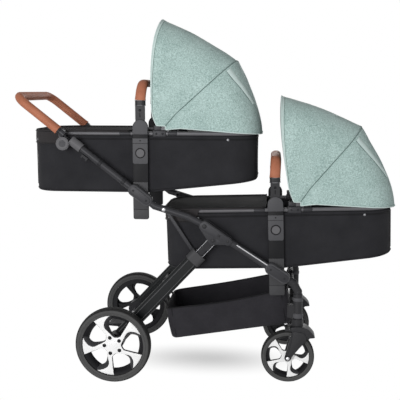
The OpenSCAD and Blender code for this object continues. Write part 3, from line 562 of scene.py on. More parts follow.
lamp("key", (-1.2, -3.9, 1.05), (0.1, 0, 0.75), 2.2, 106)
lamp("fill", (2.5, -2.9, 1.0), (0.1, 0, 0.6), 2.4, 9)
lamp("back", (0.5, 3.4, 1.5), (0.1, 0, 0.8), 2.0, 24)

world = bpy.data.worlds.new("studio")
scene.world = world
world.use_nodes = True
sky = Nodes(world.node_tree)
background = sky.only("BACKGROUND")
sky.feed(background.inputs["Strength"], sky.seen_level(0.3))
sky.feed(background.inputs["Color"], (1, 1, 1, 1))

# A pale floor that takes a soft shadow under the pram and fades to white round it
floor = Finish("pale_floor", Roughness=0.9, Specular_IOR_Level=0.0)
away = floor.node("ShaderNodeVectorMath", {"operation": "LENGTH"}, {0: floor.stretched((1.0, 2.0, 1.0))}, 1)
fade = floor.node("ShaderNodeMapRange", {"clamp": True, "interpolation_type": "SMOOTHSTEP"},
                  {"Value": away, "From Min": 0.0, "From Max": 0.42, "To Min": 0.42, "To Max": 1.0})
floor.give("Base Color", floor.mix(floor.noise(40.0), (0.93, 0.93, 0.93, 1), (0.97, 0.97, 0.97, 1)))
glow = floor.node("ShaderNodeEmission", {}, {"Strength": floor.seen_level(0.35)})
mixed = floor.node("ShaderNodeMixShader", {}, {0: fade, 1: Shade(floor, floor.shader.outputs[0]), 2: glow})
floor.feed(floor.only("OUTPUT_MATERIAL").inputs["Surface"], mixed)
floor_mesh = bmesh.new()
bmesh.ops.create_grid(floor_mesh, x_segments=8, y_segments=8, size=14.0)
piece("floor", floor_mesh, Matrix.Identity(4), floor.material)

# Wheels

ARMS, ARM_DEG = 5, 72
# One opening of a wheel's face: straight side, hub end and curved side, in degrees and in shares of the
# rim's radius
RIM_SHARE = 0.99
STRAIGHT = [(-16.6, RIM_SHARE), (-17.4, 0.85), (-18.5, 0.70)]
HUB_END = [(-21.9, 0.41), (-19.3, 0.354), (-10.6, 0.304), (6.6, 0.274)]
CURVED = [(6.6, 0.274), (23.3, 0.344), (34.4, 0.458), (41.0, 0.58), (41.6, 0.68), (38.1, 0.78), (31.4, 0.883),
          (22.7, RIM_SHARE)]
# A tyre's side, in shares of its height, down from the tread, and of its width
TYRE = [(0.80, 0.475), (0.68, 0.485), (0.64, 0.462), (0.60, 0.487), (0.40, 0.492), (0.30, 0.478),
        (0.27, 0.455), (0.23, 0.462), (0.11, 0.40), (0.035, 0.31), (0.02, 0.26), (0.11, 0.245), (0.11, 0.215),
        (0.008, 0.20)]


def eased(points, n):
    """A smooth curve through points, with n steps between each two."""
    ends = [points[0]] + points + [points[-1]]
    curve = []
    for knots in zip(ends, ends[1:], ends[2:], ends[3:]):
        for t in steps_of(n)[:-1]:
            curve.append(tuple(0.5 * (2 * q + (r - p) * t + (2 * p - 5 * q + 4 * r - s) * t * t
                                      + (3 * q - p - 3 * r + s) * t ** 3) for p, q, r, s in zip(*knots)))
    return curve + [points[-1]]


def wheel_face(r, y0, y1, angle, fuller=0.0):
    """Five arms between five openings that reach the tyre. A fuller face has smaller openings."""
    side = STRAIGHT + eased(HUB_END + CURVED[1:], 4)
    side = [(a + fuller * (8 - a), s + fuller * (0.64 - s) * (s < 0.98)) for a, s in side]
    first, last = side[0][0], side[-1][0]
    arm = [(last + (first + ARM_DEG - last) * k / 6, RIM_SHARE) for k in range(1, 6)]
    turns = [(angle(a + ARM_DEG * k), r * s) for k in range(ARMS) for a, s in side + arm]
    return plate([(s * cos(a), s * sin(a)) for a, s in turns], y0, y1, 1.1)


def scoop(r, face_y, depth, angle, k):
    """The sloped wall on the curved side of an opening."""
    side = eased(CURVED, 4)

    def shape(u, v):
        a, s = row_at(side, u)
        a = angle(a - v * 11 * min(1.0, 2.4 * u) + ARM_DEG * k)
        s *= r * (1 - 0.05 * v * u)
        return (s * cos(a), face_y - depth * v ** 1.4, s * sin(a))

    return surface(len(side) - 1, 6, shape)


def rim_shape(r, w, turn, mirror, bolts):
    """A wheel's rim: white arms, grey scoops, dark barrel, hub and bolts. Finishes: white, grey, dark."""
    def angle(a):
        return radians(turn + mirror * a)

    face, hub, core = 0.32 * w, 0.19 * r, 0.255 * r
    barrel = spun([(r, face - 2), (0.985 * r, face - 2.6), (0.87 * r, 0.0), (0.83 * r, -face), (r, -face),
                   (r, face - 2)], 72)
    back = spun([(0.0, -0.46 * w), (hub, -0.46 * w), (hub * 1.15, -face), (core, 0.0), (core, face - 5),
                 (0.0, face - 5)], 40)
    cap = spun([(0.0, face + 1.5), (hub * 0.7, face + 1.4), (hub * 0.78, face + 0.9), (hub * 0.8, face - 1.5),
                (0.0, face - 1.5)], 40)
    inner = wheel_face(r, face - 11, face - 3, angle, 0.045)
    dark = [tinted(part, 2) for part in (inner, barrel, back)]
    parts = [wheel_face(r, face - 4, face + 0.4, angle), *dark, cap]
    for k in range(ARMS):
        parts.append(tinted(scoop(r, face - 1.2, 0.40 * w, angle, k), 1))
        if bolts:
            b = angle(37 + ARM_DEG * k)
            head = [(0.0, face + 3.0), (5.2, face + 2.7), (7.0, face + 1.6), (7.4, face + 0.3),
                    (7.4, face - 1), (0.0, face - 1)]
            parts.append(tinted(spun(head, 16, (0.27 * r * cos(b), 0.27 * r * sin(b))), 2))
    return joined(*parts)


def tyre_shape(r, w, h):
    """A tyre with a bead, a ribbed side and a grooved tread. Finishes: side, tread."""
    bead, tread = r - h, r - TREAD_GAP
    half = [(bead + 0.2, 0.34 * w), (bead + 0.8, 0.43 * w)] + [(r - a * h, b * w) for a, b in TYRE]
    half += [(tread, 0.11 * w), (tread, 0.05 * w), (r - 0.10 * h, 0.038 * w)]
    profile = half + [(a, -b) for a, b in reversed(half)]

    def off_side(f):
        middle = f.calc_center_median()
        return not r - 0.94 * h < hypot(middle.x, middle.z) < r - 0.25 * h

    return tinted(spun(profile + profile[:1], 96), 1, off_side)


RIM_GAP, TREAD_GAP = 0.05, 0.0005
# Name, axle, distance from the middle, radius, width, tyre height, turn, mirrored arms, bolts
WHEELS = [("rear", AXLE, 276.0, 145.0, 45.0, 27.0, 0, 1, True),
          ("front", FRONT_AXLE, TUBE_Y, 101.0, 38.0, 19.0, -36, -1, False)]
for which, axle, y, r, w, h, turn, mirror, bolts in WHEELS:
    for side, end in SIDES:
        place = PRAM @ placed(axle, 0.0, side * y)
        body = f"{which}_wheel_{end}"
        tyre = on_side(tyre_shape(r, w, h), side)
        rim = on_side(rim_shape(r - h - RIM_GAP, w, turn, mirror, bolts), side)
        piece(f"{which}_wheel_tyre_{end}", tyre, place, [TYRE_SIDE, TYRE_TREAD], body,
              [f"{which}_tyre_{end}"])
        piece(f"{which}_wheel_rim_{end}", rim, place, [WHITE, SCOOP, DEEP], body,
              [f"{which}_rim_{end}"], smooth=35)

# Forks and casters

# The mudguard and the fork's cover in side view, from the front axle
GUARD = [(9, 107.6), (10, 119.6), (22, 122.4), (35, 123.4), (48, 122.8), (61, 120.2), (70, 116.8),
         (79, 110.8), (87, 103.4), (93, 96.8), (98, 90), (101, 83.2), (97, 81.2), (74, 78.4), (63, 87.6),
         (50, 95.6), (35.4, 102), (20, 106)]
FORK = [(20.7, 106), (58.7, 102), (69, 88), (70, 76), (57, 57), (43, 41), (28, 22), (15, 6), (12.6, -2),
        (7, -9), (-1, -11.6), (-8, -8.4), (-10.4, -1), (-8, 6), (-1, 12), (3, 20), (7.6, 39), (14, 68)]
FORK_Y, GUARD_Y = 31.5, 32.5


def fork_cover():
    """A fork leg's outer cover, with the axle's bolt in its ring. Finishes: coat, bolt, ring."""
    y = FORK_Y
    ring = spun([(7.6, y + 5.4), (8.6, y + 6.2), (10.0, y + 6.2), (10.8, y + 5.2), (10.8, y + 4)], 32)
    bolt = spun([(0.0, y + 8.0), (3.0, y + 7.8), (5.8, y + 6.8), (7.4, y + 5.2), (7.4, y + 4.0),
                 (0.0, y + 4.0)], 28)
    return joined(plate(FORK, y, y + 4.5, 2.0), tinted(ring, 2), tinted(bolt, 1))


for side, end in SIDES:
    place = PRAM @ placed(FRONT_AXLE, 0.0, side * TUBE_Y)
    fork = f"fork_{end}"
    guard = on_side(plate(GUARD, -GUARD_Y, GUARD_Y, 3.5, 4), side)
    piece(f"mudguard_{end}", guard, place, FRAME_DARK, fork)
    piece(f"fork_cover_{end}", on_side(paired(fork_cover()), side), place, [FRAME_DARK, STEEL, DEEP], fork)
    ring = spun([(18.2, 252), (20.6, 254), (21.4, 262), (20.6, 270), (18.2, 272)], 40)
    collar = spun([(18.2, 318), (19.8, 320), (19.8, 330), (18.2, 332)], 40)
    housing = PRAM @ placed((ELBOW[0], 0), 0.0, side * TUBE_Y) @ UPRIGHT
    piece(f"caster_rings_{end}", joined(ring, collar), housing, GREY, "chassis")

# Frame details

SLEEVE_HALF, SLEEVE_R, SLEEVE_IN, SLEEVE_OUT = 30.5, 22, 194.2, 230


def sleeve_shape(middle, way):
    """A sleeve round a frame tube, with eased edges, a seam and two screws."""
    ends = [plus(middle, s * SLEEVE_HALF, way) for s in (-1, 1)]
    screw = [(0.0, 233.4), (3.0, 233.2), (4.0, 232.4), (4.0, 231), (0.0, 231)]
    sleeve = bar(*ends, SLEEVE_R, SLEEVE_R, SLEEVE_IN, SLEEVE_OUT, 7.5, 4)
    cover = bar(*ends, 15.5, 15.5, SLEEVE_OUT - 1, SLEEVE_OUT + 2.2, 1.4)
    return joined(sleeve, tinted(cover, 1), *[tinted(spun(screw, 16, p), 2) for p in ends])


def edge_line(start, way, off, stations, y, wide, thick, around=12):
    """A raised line beside a line of the frame, as a trim or as a painted highlight."""
    points = [plus(plus(start, s, way), off, left_of(way)) for s in stations]
    return sweep([(x, y, z) for x, z in points], wide, thick, (0, 1, 0), around)


for level, middle, way, body in (("upper", UPPER_SLEEVE, RUN_WAY, "handle_frame"),
                                 ("lower", LOWER_SLEEVE, FRONT_WAY, "chassis")):
    piece(f"{level}_sleeve_bodies", paired(sleeve_shape(middle, way)), PRAM, [GREY, FRAME, DARK], body,
          [f"{level}_sleeves"])

rivets = [plus(HINGE, s, FRONT_WAY) for s in (65, 104)]
covers = [bar(HINGE, rivets[1], 18.2, 14.0, 230.4, 233.4, 1.6),
          bar(LEG_PIVOT, rivets[1], 15.0, 11.5, 230.2, 232.6, 1.4),
          bar(HINGE, LEG_PIVOT, 17.0, 14.0, 230.3, 232.9, 1.4)]
pins = joined(button_head(HINGE, 233.2, 9), button_head(LEG_PIVOT, 232.4, 8),
              *[button_head(p, 233.2, 5.5, 1.8) for p in rivets])
piece("hinge_covers", paired(joined(*covers, tinted(pins, 1))), PRAM, [FRAME, FRAME_DARK], "chassis")

# Lighter lines along the leg's two edges: painted highlights.
trims = [edge_line(LEG_PIVOT, LEG_WAY, d, (122, 220, 340, 460, 518), 224.6, 3.0, 2.0, 10) for d in (-15, 15)]
piece("leg_edge_highlights", paired(joined(*trims)), PRAM, MID_GREY, "rear_legs")
shock = [edge_line(LEG_PIVOT, LEG_WAY, d, (8, 30, 60, 88), 223.3, 4.0, 3.0) for d in (-15.5, 15.5)]
piece("shock_edges", paired(joined(*shock)), PRAM, SATIN, "rear_legs")
link_way = unit(LINK_PIN, LINK_FOOT)
heads = [button_head(LINK_PIN, 224.6, 7.5, 2.6), button_head(LINK_FOOT, 191.8, 7, 1.6)]
links = joined(bar(LINK_PIN, LINK_FOOT, 6.5, 6.5, 187.0, 191.6, 1.6),
               bar(LINK_PIN, plus(LINK_PIN, 3, link_way), 11, 10, 186.6, 192.0, 1.6),
               bar(LINK_FOOT, plus(LINK_FOOT, -3, link_way), 11, 10, 186.6, 192.0, 1.6),
               spun([(0.0, 224.8), (5.4, 224.8), (5.4, 186.6), (0.0, 186.6)], 24, LINK_PIN),
               *[tinted(head, 1) for head in heads])
piece("link_bars", paired(links), PRAM, [FRAME, STEEL], "fold_links", ["fold_links"])
# A steel strip along the front tube: a painted highlight.
line = edge_line(HINGE, FRONT_WAY, 6.0, (140, 190, 240, 290), 224.9, 3.4, 5.0)
piece("front_tube_highlight_line", paired(line), PRAM, STEEL, "chassis")

# Handle

ALONG = (1, 0, 0)


def stitches(path, size=4.2, gap=8.5, thick=1.1):
    """A row of raised stitches laid along a path."""
    path = [Vector(p) for p in path]
    parts, run, want = [], 0.0, gap
    for a, b in zip(path, path[1:]):
        way, span = (b - a).normalized(), (b - a).length
        while want < run + span:
            middle = a + way * (want - run)
            parts.append(cord([middle - way * size / 2, middle, middle + way * size / 2], thick, ALONG, 6))
            want += gap
        run += span
    return joined(*parts)


def wrap_shape(path, wide, thick, rolls, seam, off):
    """Leather sewn round a bar, with rolled ends and two rows of stitches. Finishes: leather, thread."""
    parts = [sweep(path, wide, thick, ALONG, 28)]
    for a, b in ((path[0], path[1]), (path[-1], path[-2])):
        way = (Vector(b) - Vector(a)).normalized()
        roll = [Vector(a) + way * s for s in (-0.2, 0.6, 3.0, 5.4, 6.2)]
        parts.append(sweep(roll, wide + rolls, thick + rolls, ALONG, 28))
    parts += [tinted(stitches([(x + d, y, z) for x, y, z in seam]), 1) for d in (off, -off)]
    return joined(*parts)


GRIP_TOP, GRIP_CORNER, GRIP_IN = 248, 48, 16.6
grip_seam = u_path(TUBE_Y - GRIP_IN, GRIP_TOP - GRIP_IN, GRIP_CORNER - GRIP_IN, 52, 12)
piece("grip_wrap", wrap_shape(u_path(TUBE_Y, GRIP_TOP, GRIP_CORNER, 46), 34, 34, 1.2, grip_seam, 4.0), GRIP,
      [LEATHER, LEATHER_SEAM], "handle", ["grip_leather"])
stub_ring = spun([(13.1, 36), (14.6, 37), (14.6, 41), (13.1, 42)], 32)
moved(stub_ring, placed((0, 0), 0.0, TUBE_Y) @ UPRIGHT)
piece("grip_stub_rings", paired(stub_ring), GRIP, DARK, "handle")
disc = spun([(12.6, 230), (12.6, 231.6), (15.0, 232.4), (20.5, 232.2), (23.4, 230.6), (24.4, 228),
             (24.4, 226)], 48, HUB)
piece("tilt_discs", paired(disc), PRAM, MID_GREY, "handle_frame")
for side, end in SIDES:
    cap = spun([(0.0, 232.9), (5.0, 232.9), (6.2, 232.2), (7.4, 232.9), (10.4, 232.6), (11.4, 231.4),
                (0.0, 231.0)], 36, HUB)
    piece(f"tilt_button_cap_{end}", on_side(cap, side), PRAM, GREY, f"tilt_button_{end}")
clips = []
for s in (150, 262):
    clip = spun([(13.05, -7), (14.6, -6), (15.2, 0), (14.6, 6), (13.05, 7)], 32)
    clips.append(moved(clip, placed(plus(HIGH_BEND, s, RUN_WAY), 90 - RUN_DEG, TUBE_Y) @ UPRIGHT))
piece("handle_tube_clips", paired(joined(*clips)), PRAM, DARK, "handle_frame")

# Soft shells drawn round a plan

# Rounded rectangles: rear end, front end, half width, corner radius
COT_PLAN = (-430.0, 440.0, 176.0, 100.0)
APRON_PLAN = (-432.8, 600.0, 178.8, 102.8)
MATTRESS_PLAN = (-418.0, 428.0, 164.0, 90.0)
BASKET_PLAN = (-12.0, 474.0, 145.0, 29.0)


def plan(u, inset, size):
    """A point and outward way on a plan drawn in by inset. It goes once round from the rear end's middle."""
    x0, x1, half, r = size
    runs = (half - r, pi / 2 * r, x1 - x0 - 2 * r, pi / 2 * r, half - r)
    d, k = min(u, 1 - u) * 2 * sum(runs), 0
    while k < 4 and d > runs[k]:
        d, k = d - runs[k], k + 1
    t = min(1.0, d / runs[k])
    x0, x1, half, r = x0 + inset, x1 - inset, half - inset, max(r - inset, 0.5)
    flat = half - r
    side = 1 if u < 0.5 else -1
    if k in (1, 3):
        a = pi + pi / 2 * (t + (k == 3))
        x, y, nx, ny = (x0 + r if k == 1 else x1 - r) + r * cos(a), r * sin(a) - flat, cos(a), sin(a)
    else:
        x, y, nx, ny = {0: (x0, -flat * t, -1, 0), 2: (x0 + r + (x1 - x0 - 2 * r) * t, -half, 0, -1),
                        4: (x1, -flat * (1 - t), 1, 0)}[k]
    return x, side * y, nx, side * ny


def ring_path(inset, size, height):
    """A line round a plan, at height(x, ny)."""
    points = [plan(u, inset, size) for u in steps_of(160)]
    return [(x, y, height(x, ny)) for x, y, nx, ny in points]


def upright_seams(shares, inset, size, heights):
    """Cords down a plan's corners."""
    parts = []
    for u in shares:
        x, y, nx, ny = plan(u, inset, size)
        parts.append(cord([(x, y, z) for z in heights(x, ny)], 2.6, (nx, ny, 0)))
    return parts


def fold(x, y, z, size, amount):
    """Slow creases of cloth."""
    return amount * noise.noise(Vector((x / size, y / size, z / size)))


TUB_DEPTH, TUB_TOP = 225, -18.0
HEAD_RISE, RISE_FROM, RISE_RUN = 42, 23, 387


def cot_floor(x):
    """The tub's floor, which rises towards its head end."""
    return HEAD_RISE * max(0.0, (x - RISE_FROM) / RISE_RUN) - TUB_DEPTH


def tub_shape():
    """The soft tub: cloth drawn over a board, its lower edge rounded and its sides faintly creased."""
    levels = [("top", (3.0, -8.6)), ("top", (1.0, -11)), ("top", (0.2, TUB_TOP))]
    levels += [("side", k / 9) for k in range(1, 9)] + [("edge", t * pi / 2) for t in steps_of(5)]
    levels += [("floor", d) for d in (24, 50, 90, 130, 168)]

    def shape(u, v):
        kind, value = row_at(levels, v)
        x, y, nx, ny = plan(u, 0, COT_PLAN)
        r, z = 5 + 2 * nx * nx, None
        if kind == "top":
            inset, z = value
        elif kind == "side":
            z = TUB_TOP + (cot_floor(x) + r - TUB_TOP) * value
            inset = 0.3 + 1.3 * (0.5 + fold(x, y, z, 95, 0.5)) * sin(pi * value)
        else:
            inset = r * (1 - cos(value)) if kind == "edge" else r + value
        x, y = plan(u, inset, COT_PLAN)[:2]
        if z is None:
            z = cot_floor(x) + (r * (1 - sin(value)) if kind == "edge" else 0.0)
        return (x, y, z)

    return outward(capped(surface(180, len(levels) - 1, shape, True), -100), (0, 0, -100))


def tub_seams():
    """Piping round the tub's bottom and down its four corners, and a binding under the rim."""
    bottom = cord(ring_path(-0.4, COT_PLAN, lambda x, ny: cot_floor(x) + 8), 2.6, fill=False)
    binding = sweep(ring_path(-0.2, COT_PLAN, lambda x, ny: -21.0), 7.0, 2.2, (0, 0, 1), 10, False)
    return joined(bottom, binding, *upright_seams((0.047, 0.454, 0.546, 0.953), -0.3, COT_PLAN,
                                                  lambda x, ny: (-20, -80, -140, cot_floor(x) + 22)))


APRON_X = (-432.0, -36.0)  # foot end, adapters


def apron_top():
    """The apron's top: cloth from the foot end to the adapters, sagging a little between the rim's sides."""
    foot, end = APRON_X
    corner, r, half = foot + 102.0, 102.0, 178.0

    def shape(u, v):
        x = foot + (end - foot) * u
        reach = half if x > corner else half - r + sqrt(max(0.0, r ** 2 - (x - corner) ** 2))
        y = (2 * v - 1) * reach
        edge = min(1.0, (reach - abs(y)) / 40, (x - foot) / 40, (end - x) / 30 + 0.4)
        return (x, y, 13.0 - 5.0 * edge * (2 - edge) + fold(x, y, 0, 70, 1.6) * edge)

    return outward(surface(60, 40, shape), (-200, 0, -200))


def apron_skirt():
    """The skirt rolled over the rim: deep round the foot end, only a lip along the sides."""
    levels = [(7.0, 13.2, 0), (3.0, 13.6, 0), (0.8, 12.2, 0), (0.0, 9.4, 0), (0.0, 7.6, 0.02),
              (-0.6, 0.0, 0.25), (-1.2, 0.0, 0.5), (-0.8, 0.0, 0.8), (0.0, 0.0, 0.97), (1.4, 0.0, 1.0),
              (2.6, 0.0, 0.96)]
    brow, lip, hem = 8.4, 7.2, -42

    def shape(u, v):
        inset, z, drop = row_at(levels, v)
        share = (0.5 - u) * 0.4 if u < 0.5 else 1 - (u - 0.5) * 0.4
        x, y = plan(share, inset, APRON_PLAN)[:2]
        deep = max(0.0, min(1.0, (-286 - x) / 22))
        deep = deep * deep * (3 - 2 * deep)
        z = brow + (lip + (hem - lip) * deep - brow) * drop if drop else z
        return (x, y, z + fold(x, y, z, 60, 0.6) * deep)

    return tinted(outward(surface(150, len(levels) - 1, shape), (-200, 0, -10)), 1)


def apron_seams():
    """Two rows of thread round the foot end's skirt, and a hem across the apron by the adapters."""
    points = [plan(k / 300, -2.2, APRON_PLAN)[:2] for k in (*range(271, 301), *range(30))]
    foot = [(x, y) for x, y in points if x < -318]
    across = [(-36.5, k * 17.6, 12.2 - 3.4 * max(0.0, 1 - abs(k) / 10 * 1.02)) for k in range(-10, 11)]
    return joined(cord([(x, y, -39.0) for x, y in foot], 2.0), cord([(x, y, 6.0) for x, y in foot], 1.6),
                  sweep(across, 6.0, 4.0, (0, 0, 1), 10))


def stud(p, way):
    """A press stud: a domed cap in a rolled ring."""
    bm = spun([(0.0, 2.4), (2.4, 2.1), (3.4, 1.2), (3.8, 1.5), (4.4, 1.4), (4.8, 0.4), (4.8, -1.0),
               (0.0, -1.0)], 20)
    turn = Vector((0, 1, 0)).rotation_difference(Vector(way)).to_matrix().to_4x4()
    return moved(bm, Matrix.Translation(p) @ turn)


def studs():
    parts = []
    for share in (0.062, 0.118):
        for u in (share, 1 - share):
            x, y, nx, ny = plan(u, -2.8, COT_PLAN)
            parts.append(stud((x, y, -26), (nx, ny, 0)))
    return joined(*parts, *[stud((331, side * 176, -22), (0, side, 0)) for side in (-1, 1)])


# How the mattress is blown up: mesh size and furthest rise in metres, pressure, and steps of time
PAD_MESH, PAD_RISE, PAD_PRESSURE, PAD_STEPS = 0.006, 0.006, 4.0, 20


def swollen(bm):
    """Blows a pad up with Blender's cloth and gives it back as a mesh."""
    mesh = bpy.data.meshes.new("pad")
    bmesh.ops.scale(bm, verts=bm.verts, vec=(0.001,) * 3)
    bm.to_mesh(mesh)
    bm.free()
    pad = bpy.data.objects.new("pad", mesh)
    scene.collection.objects.link(pad)
    bpy.context.view_layer.objects.active = pad
    pad.select_set(True)
    mesh.remesh_voxel_size = PAD_MESH
    bpy.ops.object.voxel_remesh()
    mesh = pad.data
    start = [v.co.copy() for v in mesh.vertices]
    cloth = pad.modifiers.new("cloth", "CLOTH")
    cloth.settings.use_pressure, cloth.settings.uniform_pressure_force = True, PAD_PRESSURE
    cloth.settings.effector_weights.gravity = 0.0
    cloth.settings.quality = 4
    cloth.collision_settings.use_collision = False
    for step in range(1, PAD_STEPS + 1):
        scene.frame_set(step)
    blown = pad.evaluated_get(bpy.context.evaluated_depsgraph_get()).to_mesh()
    out = bmesh.new()
    out.from_mesh(mesh)
    out.verts.ensure_lookup_table()
    for i, v in enumerate(blown.vertices):
        rise = v.co - start[i]
        out.verts[i].co = start[i] + (rise if rise.length <= PAD_RISE else rise * (PAD_RISE / rise.length))
    bpy.data.objects.remove(pad)
    scene.frame_set(1)
    bmesh.ops.scale(out, verts=out.verts, vec=(1000,) * 3)
    return out


QUILT_PITCH, QUILT_DEEP, QUILT_WIDE = 86, 4.5, 8


def mattress_shape():
    """The mattress: a pad that fills the tub's floor, crowned, with sewn channels."""
    upper = [(150, 1), (110, 1), (60, 1), (22, 1), (7, 0.93), (1.5, 0.75)]
    levels = upper + [(0, 0.5)] + [(inset, 1 - share) for inset, share in reversed(upper)]
    top = -166

    def shape(u, v):
        inset, share = row_at(levels, v)
        x, y = plan(u, inset, MATTRESS_PLAN)[:2]
        foot = cot_floor(x) + 9
        return (x, y, foot + (top - foot) * share)

    bm = capped(surface(120, len(levels) - 1, shape, True))
    bmesh.ops.recalc_face_normals(bm, faces=bm.faces)
    bm = swollen(bm)
    bm.normal_update()
    for v in bm.verts:
        if v.normal.z > 0.5:
            rows = [(v.co.x + k * v.co.y) / QUILT_PITCH for k in (-1, 1)]
            near = min(abs(row - round(row)) for row in rows) * QUILT_PITCH / 1.414
            v.co.z -= QUILT_DEEP * exp(-(near / QUILT_WIDE) ** 2)
    return bm


# Hood

PIVOT = (91.0, 36.0)
FRONT_REACH, MID_REACH, LOW_REACH, TAIL_REACH = 393, 358, 348, 366
LOW_DEG, TAIL_DEG = 12, -degrees(asin((PIVOT[1] - 8 - 0.3) / TAIL_REACH))
LOW_SHARE = 0.55  # where the rear panel passes the low line
HOOD_CENTRE = (PIVOT[0] + 120, 0, PIVOT[1] + 40)


def hoop_point(u, reach, w=176.0, r=110.0, start=4.0):
    """How far a point of a bow's arch lies from the pivot, and from the middle."""
    leg, bend, top = reach - r - start, pi * r / 2, w - r
    d = (1 - abs(2 * u - 1)) * (leg + bend + top)
    if d < leg:
        p, y = start + d, w
    elif d < leg + bend:
        a = (d - leg) / r
        p, y = reach - r + r * sin(a), w - r + r * cos(a)
    else:
        p, y = reach, w - r - (d - leg - bend)
    return p, y if u < 0.5 else -y


def hoop(u, reach, deg, ahead=0.0):
    """A point round a bow's arch."""
    p, y = hoop_point(u, reach)
    lead = ahead * (1 - (p / reach) ** 3) - (0.35 * ahead * max(0.0, (62 - p) / 58) ** 2)
    dip = 10 * max(0.0, 1 - p / 60)
    x, z = plus(PIVOT, p, slope(deg))
    return Vector((x - lead, y, z - dip))


def puffed(a, b, v, puff, crease, side=0.0):
    """A point between two bows: swollen away from the pivot, creased, and fuller or flatter at the sides."""
    p = a + (b - a) * v
    k = 1 + 4 * puff * v * (1 - v) + crease * noise.noise(p / 70) * min(1.0, 5 * v * (1 - v))
    x, z = plus(PIVOT, k, (p.x - PIVOT[0], p.z - PIVOT[1]))
    return Vector((x, p.y * (1 + 4 * side * v * (1 - v)), z))


def front_panel(front, mid, lip):
    """The panel between the two bows."""
    def shape(u, v):
        return puffed(hoop(u, FRONT_REACH, front, lip), hoop(u, MID_REACH, mid), v, 0.03, 0.006, 0.016)

    return shape


def rear_panel(mid):
    """The panel from the middle bow, past the low line, to the tail on the rim."""
    def shape(u, v):
        low_line = hoop(u, LOW_REACH, LOW_DEG)
        if v < LOW_SHARE:
            return puffed(hoop(u, MID_REACH, mid), low_line, v / LOW_SHARE, 0.012, 0.007, -0.014)
        p = puffed(low_line, hoop(u, TAIL_REACH, TAIL_DEG), (v - LOW_SHARE) / (1 - LOW_SHARE), 0.006, 0.006)
        p.z -= 11 * max(0.0, (v - 0.9) / 0.1) ** 2
        return p

    return shape


def raised(panel, u, v, lift):
    """A point lifted off a panel along its own outward way."""
    d = 0.004
    p = panel(u, v)
    way = (panel(min(1, u + d), v) - panel(max(0, u - d), v)).cross(
        panel(u, min(1, v + d)) - panel(u, max(0, v - d)))
    if way.length < 1e-9:
        return p
    way.normalize()
    if way.dot(p - Vector((PIVOT[0] + 150, 0, PIVOT[1]))) < 0:
        way.negate()
    return p + lift * way


def tape(panel, middle, wide, lift, n=40):
    """A flat tape sewn on a panel along (u, v) points, wide across u or v."""
    def shape(s, t):
        u, v, du, dv = middle(s)
        off = wide * (t - 0.5)
        return raised(panel, u + du * off, v + dv * off, lift * (1 - (2 * t - 1) ** 4))

    return outward(surface(n, 4, shape), HOOD_CENTRE)


def cord_on(panel, path, thick, lift):
    """A cord sewn on a panel along (u, v) points."""
    return cord([raised(panel, u, v, lift) for u, v in path], thick, (0.3, 0.2, 0.93), 10)


def cord_round(panel, v, thick, lift):
    """A cord over a panel from side to side."""
    return cord_on(panel, [(u, v) for u in steps_of(120)], thick, lift)


def low_cords(panel, n, thick):
    """Cords along a panel's two lower ends."""
    return [cord_on(panel, [(u, v) for v in steps_of(n)], thick, 0.2) for u in (0.0, 1.0)]


def ribbon(sign):
    """The line of a ribbon on the rear panel, with its way across."""
    return lambda s: (0.5 + sign * (0.172 - 0.06 * s ** 1.4), 0.02 + 0.52 * s, sign, 0.35)


def ribbon_shade(panel, sign):
    """The dark line beside a ribbon: a painted shadow."""
    points = [ribbon(sign)(t)[:2] for t in steps_of(30)]
    return cord_on(panel, [(u + sign * 0.0135, v + 0.005) for u, v in points], 2.2, 0.3)


# Cots

ADAPTER_Y = 188


def adapter_shape():
    """A side adapter: dark core, grey plates, a ringed button well. Finishes: grey, dark, low grey."""
    def crown(r):
        return bar_outline((0, 23.5), (0, 20.0), r, r)[:15]

    def both(*half):
        return [(-x, z) for x, z in half] + [(x, z) for x, z in reversed(half)]

    core = plate(crown(29.5) + both((29.5, -321.0), (27.6, -325.4), (23.4, -327.2)), 176.3, 190.0, 2.0)
    upper = plate(crown(29.0) + both((29.0, -2.6)), ADAPTER_Y, 192.0, 1.4)
    middle = plate(both((29.0, -17.2), (29.0, -109.0), (24.0, -114.0)), ADAPTER_Y, 191.8, 1.2)
    low = plate(both((28.8, -183.2), (28.8, -287.8)), ADAPTER_Y, 193.6, 1.0)
    foot = plate(both((28.9, -289), (28.9, -320.6), (27.2, -324.8), (23.2, -326.6)), ADAPTER_Y, 191.6, 1.2)
    well = spun([(15.2, ADAPTER_Y), (15.2, 192.6), (17.0, 193.1), (19.6, 192.6), (20.4, 191.0),
                 (20.4, 190)], 40, (0, -73))
    line = box((-28.6, 191.2, -37.4), (28.6, 192.1, -35.4), 0.4, 1)
    hole = spun([(0.0, 192.2), (2.4, 192.2), (3.2, 191.4), (0.0, 191.2)], 16, (0, -26.5))
    return joined(tinted(core, 1), upper, middle, tinted(low, 2), tinted(foot, 2),
                  *[tinted(part, 1) for part in (well, line, hole)])


def rim_fittings():
    """Joint sleeves on the rim tube and the block that carries the hood's pivot. Finishes: coat, screws."""
    parts = []
    for x0, x1 in ((-82, -40), (104, 138)):
        tube = [(8.1, x0), (9.8, x0 + 1.2), (10.2, x0 + 4), (10.2, x1 - 4), (9.8, x1 - 1.2), (8.1, x1)]
        parts.append(moved(spun(tube, 28), Matrix.Translation((0, 168, 0)) @ LENGTHWISE))
    parts += [box((45, 158.5, -13), (97, 178.5, 12.5), 4.0), box((48, 156, 8), (78, 167, 31), 3.0)]
    return joined(*parts, *[tinted(button_head((x, 0), 178.2, 4.2, 1.6), 1) for x in (60, 84)])


STEM_Y, STEM_TOP = 177.7, 125.6


